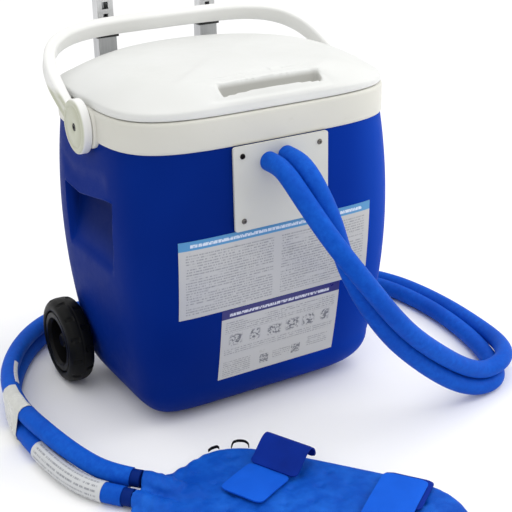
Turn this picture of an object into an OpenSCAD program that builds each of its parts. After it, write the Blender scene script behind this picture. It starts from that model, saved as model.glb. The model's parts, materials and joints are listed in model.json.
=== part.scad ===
// Hot and cold therapy machine: an insulated tub with a circulating pump,
// a twin hose, a quilted water pad, and a two-wheel telescoping trolley.
// Millimetres. Origin: middle of the tub's flat base, on the floor. +Z up, front towards -Y.

/* [Tub] */
// Width of the tub across the top of the blue shell
tub_w = 430; // [426:1:434]
// Depth of the tub at the top of the blue shell
tub_d = 336; // [332:1:338]
// Height of the blue shell
shell_h = 424; // [420:1:426]
// Width of the tub near the floor, above the bottom rounding
base_w = 397; // [390:1:400]
// Depth of the tub near the floor, above the bottom rounding
base_d = 270; // [264:1:274]
// Radius of the rounding under the tub
foot_r = 65; // [60:1:68]
// How far the walls bow outwards at half height
bow = 12; // [8:0.5:12]
// Thickness of the moulded walls
wall = 3.5; // [2.5:0.5:3.5]
// Thickness of the foam and both walls together
insulation = 28.5; // [26:0.5:28.5]

/* [Rim and lid] */
// Height of the white rim collar
rim_h = 43; // [41:0.5:43]
// Height of the lid at its edge, before the crown
lid_h = 36; // [32:1:36]
// Extra height at the middle of the lid
lid_crown = 4; // [2:0.5:5]
// Length of the finger recess in the lid
recess_w = 156; // [140:2:160]

/* [Bail handle] */
// Distance from pivot to the middle of the cross bar
bail_l = 204; // [200:1:206]
// Tilt of the bail back from upright
bail_tilt = 63; // [55:1:63]
// Radius of the round eyes
eye_r = 38; // [34:1:38]

/* [Wheels] */
// Radius of the wheels
wheel_r = 67; // [60:0.5:67]
// Width of the tyres
wheel_w = 40; // [34:1:40]
// Radius of the wheel axles
axle_r = 6; // [5:0.5:6]

/* [Trolley] */
// Distance from the centre plane to each rail
rail_x = 88; // [84:1:92]
// Height of the middle of the trolley grip, fully extended
grip_z = 962; // [920:2:970]
// Radius of the grip bar
grip_bar_r = 12; // [10:0.5:12]

/* [Front plate] */
// Width of the front plate
plate_w = 150; // [140:2:170]
// Height of the front plate
plate_h = 120; // [110:1:121]

/* [Hoses and pad] */
// Outside diameter of each foam-covered hose
hose_d = 27; // [24:0.5:27]
// Thickness of the water pad
pad_t = 16; // [12:1:16]

/* [Hidden] */

zr = shell_h;
zs = shell_h + rim_h;            // seam between rim and lid
ta = tub_w / 2;
tb = tub_d / 2;
ba = base_w / 2;
bb = base_d / 2;
n_top = 4.2;                     // squareness of the plan at the top
n_base = 7.4;                    // and near the floor
ring_n = 48;
gap = 0.3;
liner_t = 3;

// ---------- lofted forms ----------
function sg(v) = v < 0 ? -1 : 1;
function se(a, b, n, z, m = ring_n) = [for (i = [0:m - 1]) let (t = 360 * i / m, c = cos(t), s = sin(t))
  [a * sg(c) * pow(abs(c), 2 / n), b * sg(s) * pow(abs(s), 2 / n), z]];
function flat(l) = [for (a = l, b = a) b];

// closed solid through a stack of rings with the same number of points
module loft(r) {
  m = len(r[0]); k = len(r);
  polyhedron(points = flat(r), convexity = 6, faces = concat(
    [[for (i = [0:m - 1]) i]],
    [for (j = [0:k - 2], i = [0:m - 1]) [j * m + i, (j + 1) * m + i, (j + 1) * m + (i + 1) % m]],
    [for (j = [0:k - 2], i = [0:m - 1]) [j * m + i, (j + 1) * m + (i + 1) % m, j * m + (i + 1) % m]],
    [[for (i = [m - 1:-1:0]) (k - 1) * m + i]]));
}

// tube with a wall, from outer rings and inner rings at the same places
module sleeve(o, q) {
  m = len(o[0]); k = len(o); h = m * k;
  polyhedron(points = concat(flat(o), flat(q)), convexity = 6, faces = concat(
    [for (j = [0:k - 2], i = [0:m - 1]) [j * m + i, (j + 1) * m + i, (j + 1) * m + (i + 1) % m]],
    [for (j = [0:k - 2], i = [0:m - 1]) [j * m + i, (j + 1) * m + (i + 1) % m, j * m + (i + 1) % m]],
    [for (j = [0:k - 2], i = [0:m - 1]) [h + j * m + i, h + (j + 1) * m + (i + 1) % m, h + (j + 1) * m + i]],
    [for (j = [0:k - 2], i = [0:m - 1]) [h + j * m + i, h + j * m + (i + 1) % m, h + (j + 1) * m + (i + 1) % m]],
    [for (i = [0:m - 1]) [i, (i + 1) % m, h + (i + 1) % m]],
    [for (i = [0:m - 1]) [i, h + (i + 1) % m, h + i]],
    [for (i = [0:m - 1]) [(k - 1) * m + i, h + (k - 1) * m + (i + 1) % m, (k - 1) * m + (i + 1) % m]],
    [for (i = [0:m - 1]) [(k - 1) * m + i, h + (k - 1) * m + i, h + (k - 1) * m + (i + 1) % m]]));
}

// half width and half depth of the tub's outside at height z
function wf(z) = (z - foot_r) / (zr - foot_r);
function wa(z) = let (s = min(wf(z), 1)) ba + (ta - ba) * s + 4 * bow * s * (1 - s);
function wb(z) = let (s = min(wf(z), 1)) bb + (tb - bb) * s + 4 * bow * s * (1 - s);
function wn(z) = n_base + (n_top - n_base) * min(wf(z), 1);
wall_zs = [65, 110, 160, 210, 260, 310, 350, 390, 424];
// the tub's form, taken in by o on all sides, up to height top
function tub(o, top) = concat(
  [for (t = [90:-15:15]) se(ba - o - (foot_r - o) * (1 - cos(t)), bb - o - (foot_r - o) * (1 - cos(t)), n_base, o + (foot_r - o) * (1 - sin(t)))],
  [for (z = wall_zs) let (y = foot_r + (zr - foot_r) * (z - 65) / 359) se(wa(y) - o, wb(y) - o, wn(y), y)],
  top > zr ? [se(ta - o, tb - o, n_top, top)] : []);

// ---------- grips in the side walls ----------
side_grip_y = -6; side_grip_l = 168; side_grip_top = 350;
module side_grips(e = 0) {
  for (m = [0, 1]) mirror([m, 0, 0]) translate([0, side_grip_y, 0]) rotate([90, 0, 0])
    linear_extrude(height = side_grip_l + 2 * e, center = true)
      polygon([[-240, side_grip_top + e], [-194 + e, side_grip_top + e], [-195 + e, side_grip_top - 29],
        [-212 + e, side_grip_top - 99 - e], [-225, side_grip_top - 121 - e], [-240, side_grip_top - 121 - e]]);
}

// ---------- where things pass through the wall ----------
fit_a = [-20.86, 396.2];              // supply fitting, x and z
fit_b = [6.86, 400.1];                // return fitting
inlet = [40, 345];
module wall_holes(r) {
  for (f = [fit_a, fit_b]) translate([f[0], -tb + 60, f[1]]) rotate([90, 0, 0]) cylinder(r = r, h = 90, $fn = 48);
  translate([inlet[0], tb - 60, inlet[1]]) rotate([-90, 0, 0]) cylinder(r = r, h = 90, $fn = 48);
}
plate_z = zr - plate_h / 2 - 0.5;
plate_y = -174;                  // outer face of the plate
plate_t = 3.4;
module plate_holes(r, h) {
  for (x = [-1, 1], z = [-1, 1]) translate([x * (plate_w / 2 - 14), plate_y - 1, plate_z + z * (plate_h / 2 - 14)])
    rotate([-90, 0, 0]) cylinder(r = r, h = h, $fn = 24);
}

wheel_y = 103; axle_z = wheel_r;
wheel_in = 208;                  // inner face of the wheels
module axle_places() { for (m = [0, 1]) mirror([m, 0, 0]) translate([-wheel_in, wheel_y, axle_z]) rotate([0, 90, 0]) children(); }

// ---------- tub ----------
module outer_shell() {
  color([0.02, 0.13, 0.56]) difference() {
    union() {
      difference() {
        loft(tub(0, zr));
        difference() { translate([0, 0, 0.001]) loft(tub(wall, zr + 5)); side_grips(wall - 0.5); }
      }
      // bosses that carry the wheel axles
      axle_places() translate([0, 0, 4]) cylinder(r = 20, h = 14, $fn = 64);
    }
    side_grips();
    // shallow wells beside the wheels
    axle_places() translate([0, 0, -30]) cylinder(r = wheel_r + 6, h = 31, $fn = 96);
    axle_places() cylinder(r = axle_r + 0.03, h = 13, $fn = 48);
    axle_places() for (a = [90, 210, 330]) rotate([0, 0, a]) translate([13, 0, 3]) cylinder(r = 2.1, h = 12, $fn = 24);
    wall_holes(8.1);
    plate_holes(2.1, 20);
    back_screws(2.6);
    translate([0, 0, zr + 0.0]) cylinder(r = 400, h = 20, $fn = 48);
  }
}

module foam_insulation() {
  color([0.93, 0.88, 0.66]) difference() {
    loft(tub(wall + gap, zs - 3.4));
    translate([0, 0, 0.001]) loft(tub(insulation - gap, zs + 5));
    side_grips(wall - 0.1);
    wall_holes(8.2);
    plate_holes(2.6, 24);
    back_screws(3);
    axle_places() translate([0, 0, 3]) cylinder(r = 20.3, h = 15.4, $fn = 64);
  }
}

module inner_liner() {
  color([0.93, 0.93, 0.91]) difference() {
    loft(tub(insulation, zs - 0.2));
    loft(tub(insulation + liner_t, zs + 5));
    wall_holes(8.1);
  }
}

pivot_y = -18; pivot_z = 441;
module rim_collar() {
  color([0.9, 0.9, 0.87]) difference() {
    union() {
      difference() {
        loft([se(ta + 1.2, tb + 1.2, n_top, zr), se(ta + 2, tb + 2, n_top, zr + 2), se(ta + 2, tb + 2, n_top, zs - 3), se(ta + 0.5, tb + 0.5, n_top, zs)]);
        loft([se(ta - wall + 0.2, tb - wall + 0.2, n_top, zr - 1), se(ta - wall + 0.2, tb - wall + 0.2, n_top, zs - 3)]);
        loft([se(ta - insulation + gap, tb - insulation + gap, n_top, zs - 5), se(ta - insulation + gap, tb - insulation + gap, n_top, zs + 5)]);
      }
      // raised pads and posts for the bail
      for (m = [0, 1]) mirror([m, 0, 0]) {
        translate([-220.9, pivot_y - 36, 414]) cube([4.3, 72, zs - 414]);
        translate([-219.6, pivot_y - 33, zr + 1]) cube([6, 66, zs - zr - 4]);
        translate([-230.8, pivot_y, pivot_z]) rotate([0, 90, 0]) cylinder(r = 10, h = 16, $fn = 64);
      }
      // hinge seats at the back
      for (x = [-35, 35]) translate([x - 20, tb - 1, zs - 14]) cube([40, 4.5, 8]);
    }
    for (m = [0, 1]) mirror([m, 0, 0]) translate([-232, pivot_y, pivot_z]) rotate([0, 90, 0]) cylinder(r = 3.05, h = 14.6, $fn = 32);
    for (x = [-35, 35], dx = [-12, 12]) translate([x + dx, tb - 4, zs - 10]) rotate([-90, 0, 0]) cylinder(r = 1.6, h = 20, $fn = 20);
  }
}

// ---------- front plate ----------
module rounded_plate(w, h, r) {
  union() {
    square([w - 2 * r, h], center = true);
    square([w, h - 2 * r], center = true);
    for (x = [-1, 1], y = [-1, 1]) translate([x * (w / 2 - r), y * (h / 2 - r)]) circle(r = r, $fn = 32);
  }
}
module front_plate() {
  color([0.92, 0.93, 0.94]) difference() {
    translate([0, plate_y + plate_t, plate_z]) rotate([90, 0, 0]) linear_extrude(height = plate_t) rounded_plate(plate_w, plate_h, 4);
    wall_holes(8.1);
    plate_holes(2.1, 10);
  }
}
module plate_gasket() {
  color([0.15, 0.15, 0.16]) difference() {
    translate([0, -160, plate_z]) rotate([90, 0, 0]) linear_extrude(height = -160 - plate_y - plate_t - 0.05) rounded_plate(plate_w - 6, plate_h - 6, 3);
    loft(tub(-0.15, zr + 5));
    wall_holes(8.2);
    plate_holes(2.3, 24);
  }
}
module plate_screws() {
  color([0.16, 0.16, 0.17]) for (x = [-1, 1], z = [-1, 1])
    translate([x * (plate_w / 2 - 14), plate_y, plate_z + z * (plate_h / 2 - 14)]) rotate([-90, 0, 0]) difference() {
      union() { cylinder(r = 2, h = 12, $fn = 24); translate([0, 0, -2]) cylinder(r1 = 3, r2 = 4, h = 2, $fn = 32); }
      translate([0, 0, -2.5]) cylinder(r = 1.6, h = 1.8, $fn = 6);
    }
}
module bulkhead_fittings() {
  color([0.2, 0.2, 0.22]) for (f = [fit_a, fit_b]) translate([f[0], plate_y, f[1]]) rotate([-90, 0, 0]) difference() {
    union() { cylinder(r = 8, h = 45, $fn = 48); cylinder(r = 5.5, h = 58, $fn = 48); }
    translate([0, 0, -1]) cylinder(r = 4, h = 60, $fn = 32);
  }
}
module bulkhead_nuts() {
  color([0.2, 0.2, 0.22]) for (f = [fit_a, fit_b]) translate([f[0], -wb(f[1]) + insulation + liner_t + 0.9, f[1]]) rotate([-90, 0, 0]) difference() {
    cylinder(r = 12, h = 5, $fn = 6);
    translate([0, 0, -1]) cylinder(r = 8.1, h = 7, $fn = 48);
  }
}

// ---------- labels on the bowed front ----------
module front_sheet(x0, x1, z0, z1) {
  intersection() {
    difference() { loft(tub(-0.65, zr)); loft(tub(-0.15, zr + 1)); }
    translate([x0, -200, z0]) cube([x1 - x0, 100, z1 - z0]);
  }
}
module upper_label() { color([0.9, 0.91, 0.93]) front_sheet(-157, 156, 183, 302); }
module lower_label() { color([0.88, 0.89, 0.92]) front_sheet(-90.5, 108.5, 58, 182); }

// ---------- pump and plumbing ----------
pump = [-4, -58];
tube_y = -72;
module pump_housing() {
  color([0.12, 0.12, 0.13]) difference() {
    union() {
      translate([pump[0], pump[1], 44]) cylinder(r = 28, h = 40, $fn = 64);
      translate([fit_a[0], tube_y, 80]) cylinder(r = 5.5, h = 22, $fn = 48);
    }
    translate([pump[0], pump[1], 43]) cylinder(r = 21, h = 15, $fn = 64);
    translate([fit_a[0], tube_y, 50]) cylinder(r = 3.5, h = 60, $fn = 32);
  }
  color([0.8, 0.8, 0.8]) translate([pump[0], pump[1], 44]) cylinder(r = 2, h = 15, $fn = 32);
}
module pump_cover() {
  color([0.18, 0.18, 0.2]) translate([pump[0], pump[1], 40]) difference() {
    cylinder(r = 27, h = 4, $fn = 64);
    translate([0, 0, -1]) difference() { cylinder(r = 9, h = 6, $fn = 48); for (a = [0, 60, 120]) rotate([0, 0, a]) cube([20, 2.4, 14], center = true); }
  }
}
module pump_strainer() {
  color([0.25, 0.27, 0.3]) translate([pump[0], pump[1], 34.5]) difference() {
    cylinder(r = 24, h = 5.5, $fn = 64);
    translate([0, 0, 1.5]) cylinder(r = 21, h = 5, $fn = 64);
    for (a = [0:30:150]) rotate([0, 0, a]) translate([0, 0, 3]) cube([60, 4, 2.4], center = true);
  }
}
module pump_feet() {
  color([0.3, 0.3, 0.32]) for (a = [45:90:315]) translate([pump[0] + 14 * cos(a), pump[1] + 14 * sin(a), 31.7]) cylinder(r = 4.5, h = 2.8, $fn = 32);
}
module pump_impeller() {
  color([0.75, 0.76, 0.72]) translate([pump[0], pump[1], 46.5]) difference() {
    union() {
      cylinder(r = 18, h = 2, $fn = 64);
      cylinder(r = 5, h = 9.5, $fn = 48);
      for (a = [0:60:300]) rotate([0, 0, a]) translate([3, -0.8, 1]) cube([14, 1.6, 8]);
    }
    translate([0, 0, -1]) cylinder(r = 2.05, h = 12, $fn = 32);
  }
}
// inner tube from a wall fitting, round one bend and down to height zb
module drop_tube(f, zb) {
  br = 18; y0 = plate_y + 46; y1 = tube_y - br;
  difference() {
    union() {
      translate([f[0], y0, f[1]]) rotate([-90, 0, 0]) cylinder(r = 8, h = y1 - y0, $fn = 32);
      translate([f[0], y1, f[1] - br]) rotate([90, 0, 90]) rotate_extrude(angle = 90, $fn = 48) translate([br, 0]) circle(r = 8, $fn = 32);
      translate([f[0], tube_y, zb]) cylinder(r = 8, h = f[1] - br - zb, $fn = 32);
    }
    translate([f[0], y0 - 1, f[1]]) rotate([-90, 0, 0]) cylinder(r = 5.6, h = y1 - y0 + 1, $fn = 32);
    translate([f[0], y1, f[1] - br]) rotate([90, 0, 90]) rotate_extrude(angle = 90, $fn = 48) translate([br, 0]) circle(r = 5.6, $fn = 32);
    translate([f[0], tube_y, zb - 1]) cylinder(r = 5.6, h = f[1] - br - zb + 1, $fn = 32);
  }
}
module inner_supply_tube() { color([0.82, 0.86, 0.9]) drop_tube(fit_a, 85); }
module inner_return_tube() { color([0.82, 0.86, 0.9]) drop_tube(fit_b, 210); }
module tube_clamps() {
  color([0.7, 0.7, 0.72]) for (f = [fit_a, fit_b]) translate([f[0], plate_y + 50, f[1]]) rotate([-90, 0, 0]) difference() {
    cylinder(r = 9.4, h = 6, $fn = 48);
    translate([0, 0, -1]) cylinder(r = 8.1, h = 8, $fn = 48);
  }
}
lead_pts = [[40, 129.2, 345], [40, 114, 341], [40, 106, 326], [38, 102, 270], [34, 99, 190], [30, 95, 120], [24, 84, 84], [14, 50, 73], [4, 10, 70], [-4, -29.8, 70]];
module pump_lead() {
  k = len(lead_pts);
  color([0.1, 0.1, 0.1]) loft([for (i = [0:k - 1]) let (t = unit(lead_pts[min(i + 1, k - 1)] - lead_pts[max(i - 1, 0)]), n = unit([1, 0, 0] - t * t[0]), w = cross(t, n))
    [for (q = [0:7]) lead_pts[i] + n * (2.5 * cos(-45 * q)) + w * (2.5 * sin(-45 * q))]]);
}
module power_inlet() {
  color([0.07, 0.07, 0.08]) translate([inlet[0], 172.5, inlet[1]]) rotate([90, 0, 0]) difference() {
    union() { cylinder(r = 11, h = 3.2, $fn = 48); cylinder(r = 8, h = 43, $fn = 48); }
    translate([0, 0, -1]) cylinder(r = 2.8, h = 11, $fn = 32);
  }
}
module inlet_nut() {
  color([0.2, 0.2, 0.22]) translate([inlet[0], wb(inlet[1]) - insulation - liner_t - 1.4, inlet[1]]) rotate([90, 0, 0]) difference() {
    cylinder(r = 12, h = 4.5, $fn = 6);
    translate([0, 0, -1]) cylinder(r = 8.1, h = 7, $fn = 48);
  }
}

// ---------- lid ----------
hinge_y = 178; hinge_z = zs + 1;
module hinge_bases() {
  color([0.88, 0.88, 0.85]) for (x = [-35, 35]) difference() {
    union() {
      translate([x - 20, tb + 3.6, zs - 15]) cube([40, 4, 12]);
      for (dx = [-20, 8]) translate([x + dx, hinge_y - 5, zs - 8]) cube([12, 7.5, 9]);
      for (dx = [-20, 8]) translate([x + dx, hinge_y, hinge_z]) rotate([0, 90, 0]) cylinder(r = 4.5, h = 12, $fn = 48);
    }
    translate([x - 21, hinge_y, hinge_z]) rotate([0, 90, 0]) cylinder(r = 2, h = 42, $fn = 32);
    for (dx = [-12, 12]) translate([x + dx, tb, zs - 10]) rotate([-90, 0, 0]) cylinder(r = 1.6, h = 20, $fn = 20);
  }
}
module hinge_pins() {
  color([0.75, 0.75, 0.77]) for (x = [-35, 35]) translate([x - 20, hinge_y, hinge_z]) rotate([0, 90, 0]) cylinder(r = 2, h = 40, $fn = 32);
}
module lid_hinge_leaves() {
  color([0.9, 0.9, 0.87]) for (x = [-35, 35]) difference() {
    union() {
      translate([x - 7.7, hinge_y, hinge_z]) rotate([0, 90, 0]) cylinder(r = 4.5, h = 15.4, $fn = 48);
      translate([x - 7.7, tb + 0.3, hinge_z + 0.2]) cube([15.4, hinge_y - tb - 0.3, 4.3]);
      translate([x - 14, tb + 0.3, hinge_z + 5]) cube([28, 3, 7]);
      translate([x - 7.7, tb + 0.3, hinge_z + 2]) cube([15.4, 3, 8]);
    }
    translate([x - 9, hinge_y, hinge_z]) rotate([0, 90, 0]) cylinder(r = 2.05, h = 18, $fn = 32);
  }
}
lid_z = zs + 0.8;
// the lid's outside, taken in by o
function lid_rings(o) = concat(
  o == 0 ? [se(ta, tb, n_top, lid_z)] : [se(ta - o, tb - o, n_top, lid_z - 1)],
  [for (t = [0:15:90]) let (k = 1 - cos(t), nn = n_top + (2.6 - n_top) * sin(t))
    se(ta - o - 50 * k, tb - o - 20 * k, nn, lid_z + 8 + (lid_h - 8) * pow(sin(t), 1.6) - o)],
  [for (k = [0.8, 0.5, 0.2]) se((ta - 50 - o) * k, (tb - 20 - o) * k, 2.6, lid_z + lid_h + lid_crown * (1 - k * k) - o)]);
module finger_recess(e = 0) {
  rotate([90, 0, 90]) linear_extrude(height = recess_w + 2 * e, center = true)
    polygon([[-158 - e, zs + 60], [-158 - e, zs + 16 - e], [-146 + e, zs + 16 - e], [-134 + e, zs + 38], [-134 + e, zs + 60]]);
}
module lid_shell() {
  color([0.92, 0.92, 0.91]) difference() {
    loft(lid_rings(0));
    difference() { loft(lid_rings(3)); finger_recess(3); }
    finger_recess();
  }
}
module lid_foam() {
  color([0.93, 0.88, 0.66]) difference() {
    intersection() { loft(lid_rings(3.3)); translate([-300, -300, lid_z + 3.3]) cube([600, 600, 80]); }
    finger_recess(3.3);
  }
}
module lid_liner() {
  color([0.93, 0.93, 0.92]) difference() {
    union() {
      loft([se(ta - 3.4, tb - 3.4, n_top, lid_z), se(ta - 3.4, tb - 3.4, n_top, lid_z + 3)]);
      loft([se(ta - 36, tb - 36, n_top, lid_z - 12), se(ta - 34.5, tb - 34.5, n_top, lid_z + 1)]);
    }
    loft([se(ta - 39, tb - 39, n_top, lid_z - 13), se(ta - 37.5, tb - 37.5, n_top, lid_z)]);
  }
}
module lid_gasket() {
  color([0.2, 0.2, 0.22]) difference() {
    loft([se(ta - 32.4, tb - 32.4, n_top, lid_z - 5), se(ta - 32.4, tb - 32.4, n_top, lid_z - 1.2)]);
    loft([se(ta - 35.15, tb - 35.15, n_top, lid_z - 6), se(ta - 34.45, tb - 34.45, n_top, lid_z)]);
  }
}

// ---------- bail ----------
bail_a = 228; bail_m = 4.4;
function bp(t) = [-bail_a * sg(cos(t)) * pow(abs(cos(t)), 2 / bail_m), bail_l * pow(abs(sin(t)), 2 / bail_m)];
// half thickness, in the handle's plane: slim beside the eyes, full in the cross bar
function bt(t) = 6.7 + 1.8 * min(1, bp(t)[1] / 90);
bail_half = [0.3, 1, 3, 6, 10, 16, 22, 28, 34, 39, 43, 47, 52, 58, 66, 78];
bail_ts = concat(bail_half, [90], [for (i = [len(bail_half) - 1:-1:0]) 180 - bail_half[i]]);
// rounded oblong section, half sizes p and q
function oblong(p, q, r) = [for (k = [0:3], j = [0:2]) let (a = 90 * k + 45 * j, cx = (k == 0 || k == 3 ? 1 : -1) * (p - r), cy = (k < 2 ? 1 : -1) * (q - r)) [cx + r * cos(a), cy + r * sin(a)]];
function bail_ring(t) = let (c = bp(t), a = bp(t - 0.1), b = bp(t + 0.1), d = [b[0] - a[0], b[1] - a[1]] / norm([b[0] - a[0], b[1] - a[1]]), e = [-d[1], d[0]])
  [for (s = oblong(bt(t), 13, 4.5)) [c[0] + e[0] * s[0], -s[1], c[1] + e[1] * s[0]]];
module bail_handle() {
  color([0.92, 0.92, 0.91]) difference() {
    union() {
      translate([0, pivot_y, pivot_z]) rotate([-bail_tilt, 0, 0]) loft([for (t = bail_ts) bail_ring(t)]);
      for (m = [0, 1]) mirror([m, 0, 0]) translate([-235.2, pivot_y, pivot_z]) rotate([0, 90, 0]) {
        cylinder(r1 = eye_r - 2, r2 = eye_r, h = 2, $fn = 96);
        translate([0, 0, 1.9]) cylinder(r = eye_r, h = 12, $fn = 96);
      }
    }
    for (m = [0, 1]) mirror([m, 0, 0]) translate([-231.2, pivot_y, pivot_z]) rotate([0, 90, 0]) {
      cylinder(r = 10.05, h = 20, $fn = 64);
      translate([0, 0, -6]) cylinder(r = 3.1, h = 8, $fn = 32);
      translate([0, 0, -6]) cylinder(r = 5.4, h = 4.2, $fn = 32);
    }
    // keeps the bar clear of the collar
    for (m = [0, 1]) mirror([m, 0, 0]) translate([-221.3, pivot_y, pivot_z]) rotate([0, 90, 0]) cylinder(r = eye_r + 30, h = 20, $fn = 96);
  }
}
module bail_screws() {
  color([0.3, 0.28, 0.26]) for (m = [0, 1]) mirror([m, 0, 0]) translate([-235, pivot_y, pivot_z]) rotate([0, 90, 0]) difference() {
    union() { cylinder(r = 5, h = 1.8, $fn = 32); cylinder(r = 3, h = 16, $fn = 32); }
    translate([0, 0, -1]) cylinder(r = 2, h = 2, $fn = 6);
  }
}

// ---------- wheels ----------
module axle_one() {
  difference() {
    union() {
      translate([0, 0, -30]) cylinder(r = axle_r, h = 42, $fn = 48);
      translate([0, 0, 1]) cylinder(r = 18, h = 3, $fn = 64);
    }
    for (a = [90, 210, 330]) rotate([0, 0, a]) translate([13, 0, 0]) cylinder(r = 2.1, h = 6, $fn = 24);
  }
}
module axle_left() { color([0.7, 0.71, 0.73]) translate([-wheel_in, wheel_y, axle_z]) rotate([0, 90, 0]) axle_one(); }
module axle_right() { color([0.7, 0.71, 0.73]) mirror([1, 0, 0]) translate([-wheel_in, wheel_y, axle_z]) rotate([0, 90, 0]) axle_one(); }
module axle_screws() {
  color([0.6, 0.6, 0.62]) axle_places() for (a = [90, 210, 330]) rotate([0, 0, a]) translate([13, 0, 1.2]) union() {
    cylinder(r = 2, h = 11, $fn = 24);
  }
}
module wheel_hub() {
  color([0.08, 0.08, 0.09]) difference() {
    rotate_extrude($fn = 96) polygon([[axle_r + 0.06, -wheel_w + 15], [14, -wheel_w + 15], [15, -wheel_w + 20], [34, -wheel_w + 24], [36, -wheel_w + 6], [39, -wheel_w + 1], [46, -wheel_w + 1],
      [48.95, -wheel_w + 4], [48.95, -3], [44, -1.5], [40, -8], [18, -8], [14, -0.5], [axle_r + 0.06, -0.5]]);
    for (a = [0:72:288]) rotate([0, 0, a]) translate([24.5, 0, -30]) cylinder(r = 6.5, h = 40, $fn = 32);
  }
}
module wheel_tyre() {
  color([0.06, 0.06, 0.065]) difference() {
    rotate_extrude($fn = 96) polygon([[49, -3], [49, -wheel_w + 3], [52, -wheel_w], [58, -wheel_w], [wheel_r - 3, -wheel_w + 4], [wheel_r - 0.6, -wheel_w + 11], [wheel_r, -wheel_w / 2],
      [wheel_r - 0.6, -11], [wheel_r - 3, -4], [58, 0], [52, 0]]);
    for (a = [0:15:345]) rotate([0, 0, a + 7.5]) translate([wheel_r + 1.2, 0, -wheel_w / 2 + (floor(a / 15) % 2 == 0 ? 9 : -9)]) cube([6, 6, 12], center = true);
  }
}
module at_left() { translate([-wheel_in, wheel_y, axle_z]) rotate([0, 90, 0]) children(); }
module wheel_left_hub() { at_left() wheel_hub(); }
module wheel_left_tyre() { at_left() wheel_tyre(); }
module wheel_right_hub() { mirror([1, 0, 0]) at_left() wheel_hub(); }
module wheel_right_tyre() { mirror([1, 0, 0]) at_left() wheel_tyre(); }
module wheel_caps() {
  color([0.1, 0.1, 0.1]) axle_places() translate([0, 0, -31.6]) difference() {
    union() { cylinder(r1 = 9, r2 = 11, h = 2, $fn = 48); translate([0, 0, 1.9]) cylinder(r = 11, h = 4.4, $fn = 48); }
    translate([0, 0, 1.5]) cylinder(r = axle_r + 0.02, h = 6, $fn = 48);
  }
}

// ---------- trolley ----------
rail_yc = 204.5;
tube_ow = 30; tube_od = 22; tube_iw = 26.6; tube_id = 18.6; tube_wall = 1.5;
rail_lo = 40; rail_hi = 520;
rail_y0 = rail_yc - tube_od / 2;  // front faces of the outer rails
module rails() { for (s = [-1, 1]) translate([s * rail_x, rail_yc, 0]) children(); }
module box_tube(w, d, z0, z1) {
  difference() {
    translate([-w / 2, -d / 2, z0]) cube([w, d, z1 - z0]);
    translate([-w / 2 + tube_wall, -d / 2 + tube_wall, z0 - 1]) cube([w - 2 * tube_wall, d - 2 * tube_wall, z1 - z0 + 2]);
  }
}
module outer_rails() { color([0.55, 0.56, 0.58]) rails() box_tube(tube_ow, tube_od, rail_lo, rail_hi); }
module rail_collars() {
  color([0.12, 0.12, 0.13]) rails() difference() {
    translate([-18, -13.6, 510]) cube([36, 27.2, 22]);
    translate([-tube_ow / 2 - 0.05, -tube_od / 2 - 0.05, 505]) cube([tube_ow + 0.1, tube_od + 0.1, 15.1]);
    translate([-tube_iw / 2 - 0.15, -tube_id / 2 - 0.15, 505]) cube([tube_iw + 0.3, tube_id + 0.3, 40]);
  }
}
module rail_plugs() {
  color([0.1, 0.1, 0.1]) rails() union() {
    translate([-tube_ow / 2, -tube_od / 2, rail_lo - 4]) cube([tube_ow, tube_od, 4]);
    translate([-tube_ow / 2 + 1.6, -tube_od / 2 + 1.6, rail_lo - 1]) cube([tube_ow - 3.2, tube_od - 3.2, 11]);
  }
}
up_br_z = 380; lo_br_z = 96;
module back_screws(r) {
  for (x = [-50, 50]) translate([x, 130, up_br_z + 14]) rotate([-90, 0, 0]) cylinder(r = r, h = 50, $fn = 24);
  for (x = [-50, 50]) translate([x, 100, lo_br_z + 14]) rotate([-90, 0, 0]) cylinder(r = r, h = 70, $fn = 24);
}
module upper_bracket() {
  color([0.5, 0.51, 0.53]) difference() {
    union() {
      translate([-108, rail_y0 - 4, up_br_z]) cube([216, 4, 28]);
      translate([-70, tb + 1.6, up_br_z]) cube([140, rail_y0 - 4 - tb - 1.6, 28]);
    }
    translate([-30, tb, up_br_z + 5]) cube([60, rail_y0 - 4 - tb, 18]);
    for (x = [-50, 50]) translate([x, 160, up_br_z + 14]) rotate([-90, 0, 0]) cylinder(r = 2.6, h = 50, $fn = 24);
  }
}
module lower_bracket() {
  y0 = wb(lo_br_z + 28) + 0.3;
  color([0.5, 0.51, 0.53]) difference() {
    union() {
      translate([-108, rail_y0 - 4, lo_br_z]) cube([216, 4, 28]);
      for (s = [-1, 1]) translate([s * 50 - 13, y0, lo_br_z]) cube([26, rail_y0 - 3 - y0, 28]);
    }
    for (s = [-1, 1]) translate([s * 50 - 10, y0 + 3, lo_br_z - 1]) cube([20, rail_y0 - 4 - y0 - 3, 32]);
    for (x = [-50, 50]) translate([x, 130, lo_br_z + 14]) rotate([-90, 0, 0]) cylinder(r = 2.6, h = 80, $fn = 24);
  }
}
module bracket_screws() {
  color([0.65, 0.66, 0.68]) {
    for (x = [-50, 50]) translate([x, 152, up_br_z + 14]) rotate([-90, 0, 0]) { cylinder(r = 2.5, h = rail_y0 - 152, $fn = 24); translate([0, 0, rail_y0 - 152]) cylinder(r1 = 5, r2 = 3.5, h = 2.4, $fn = 32); }
    for (x = [-50, 50]) translate([x, 128, lo_br_z + 14]) rotate([-90, 0, 0]) { cylinder(r = 2.5, h = rail_y0 - 128, $fn = 24); translate([0, 0, rail_y0 - 128]) cylinder(r1 = 5, r2 = 3.5, h = 2.4, $fn = 32); }
  }
}
rail_in_lo = 480;
rail_in_hi = grip_z - 14;
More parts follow.
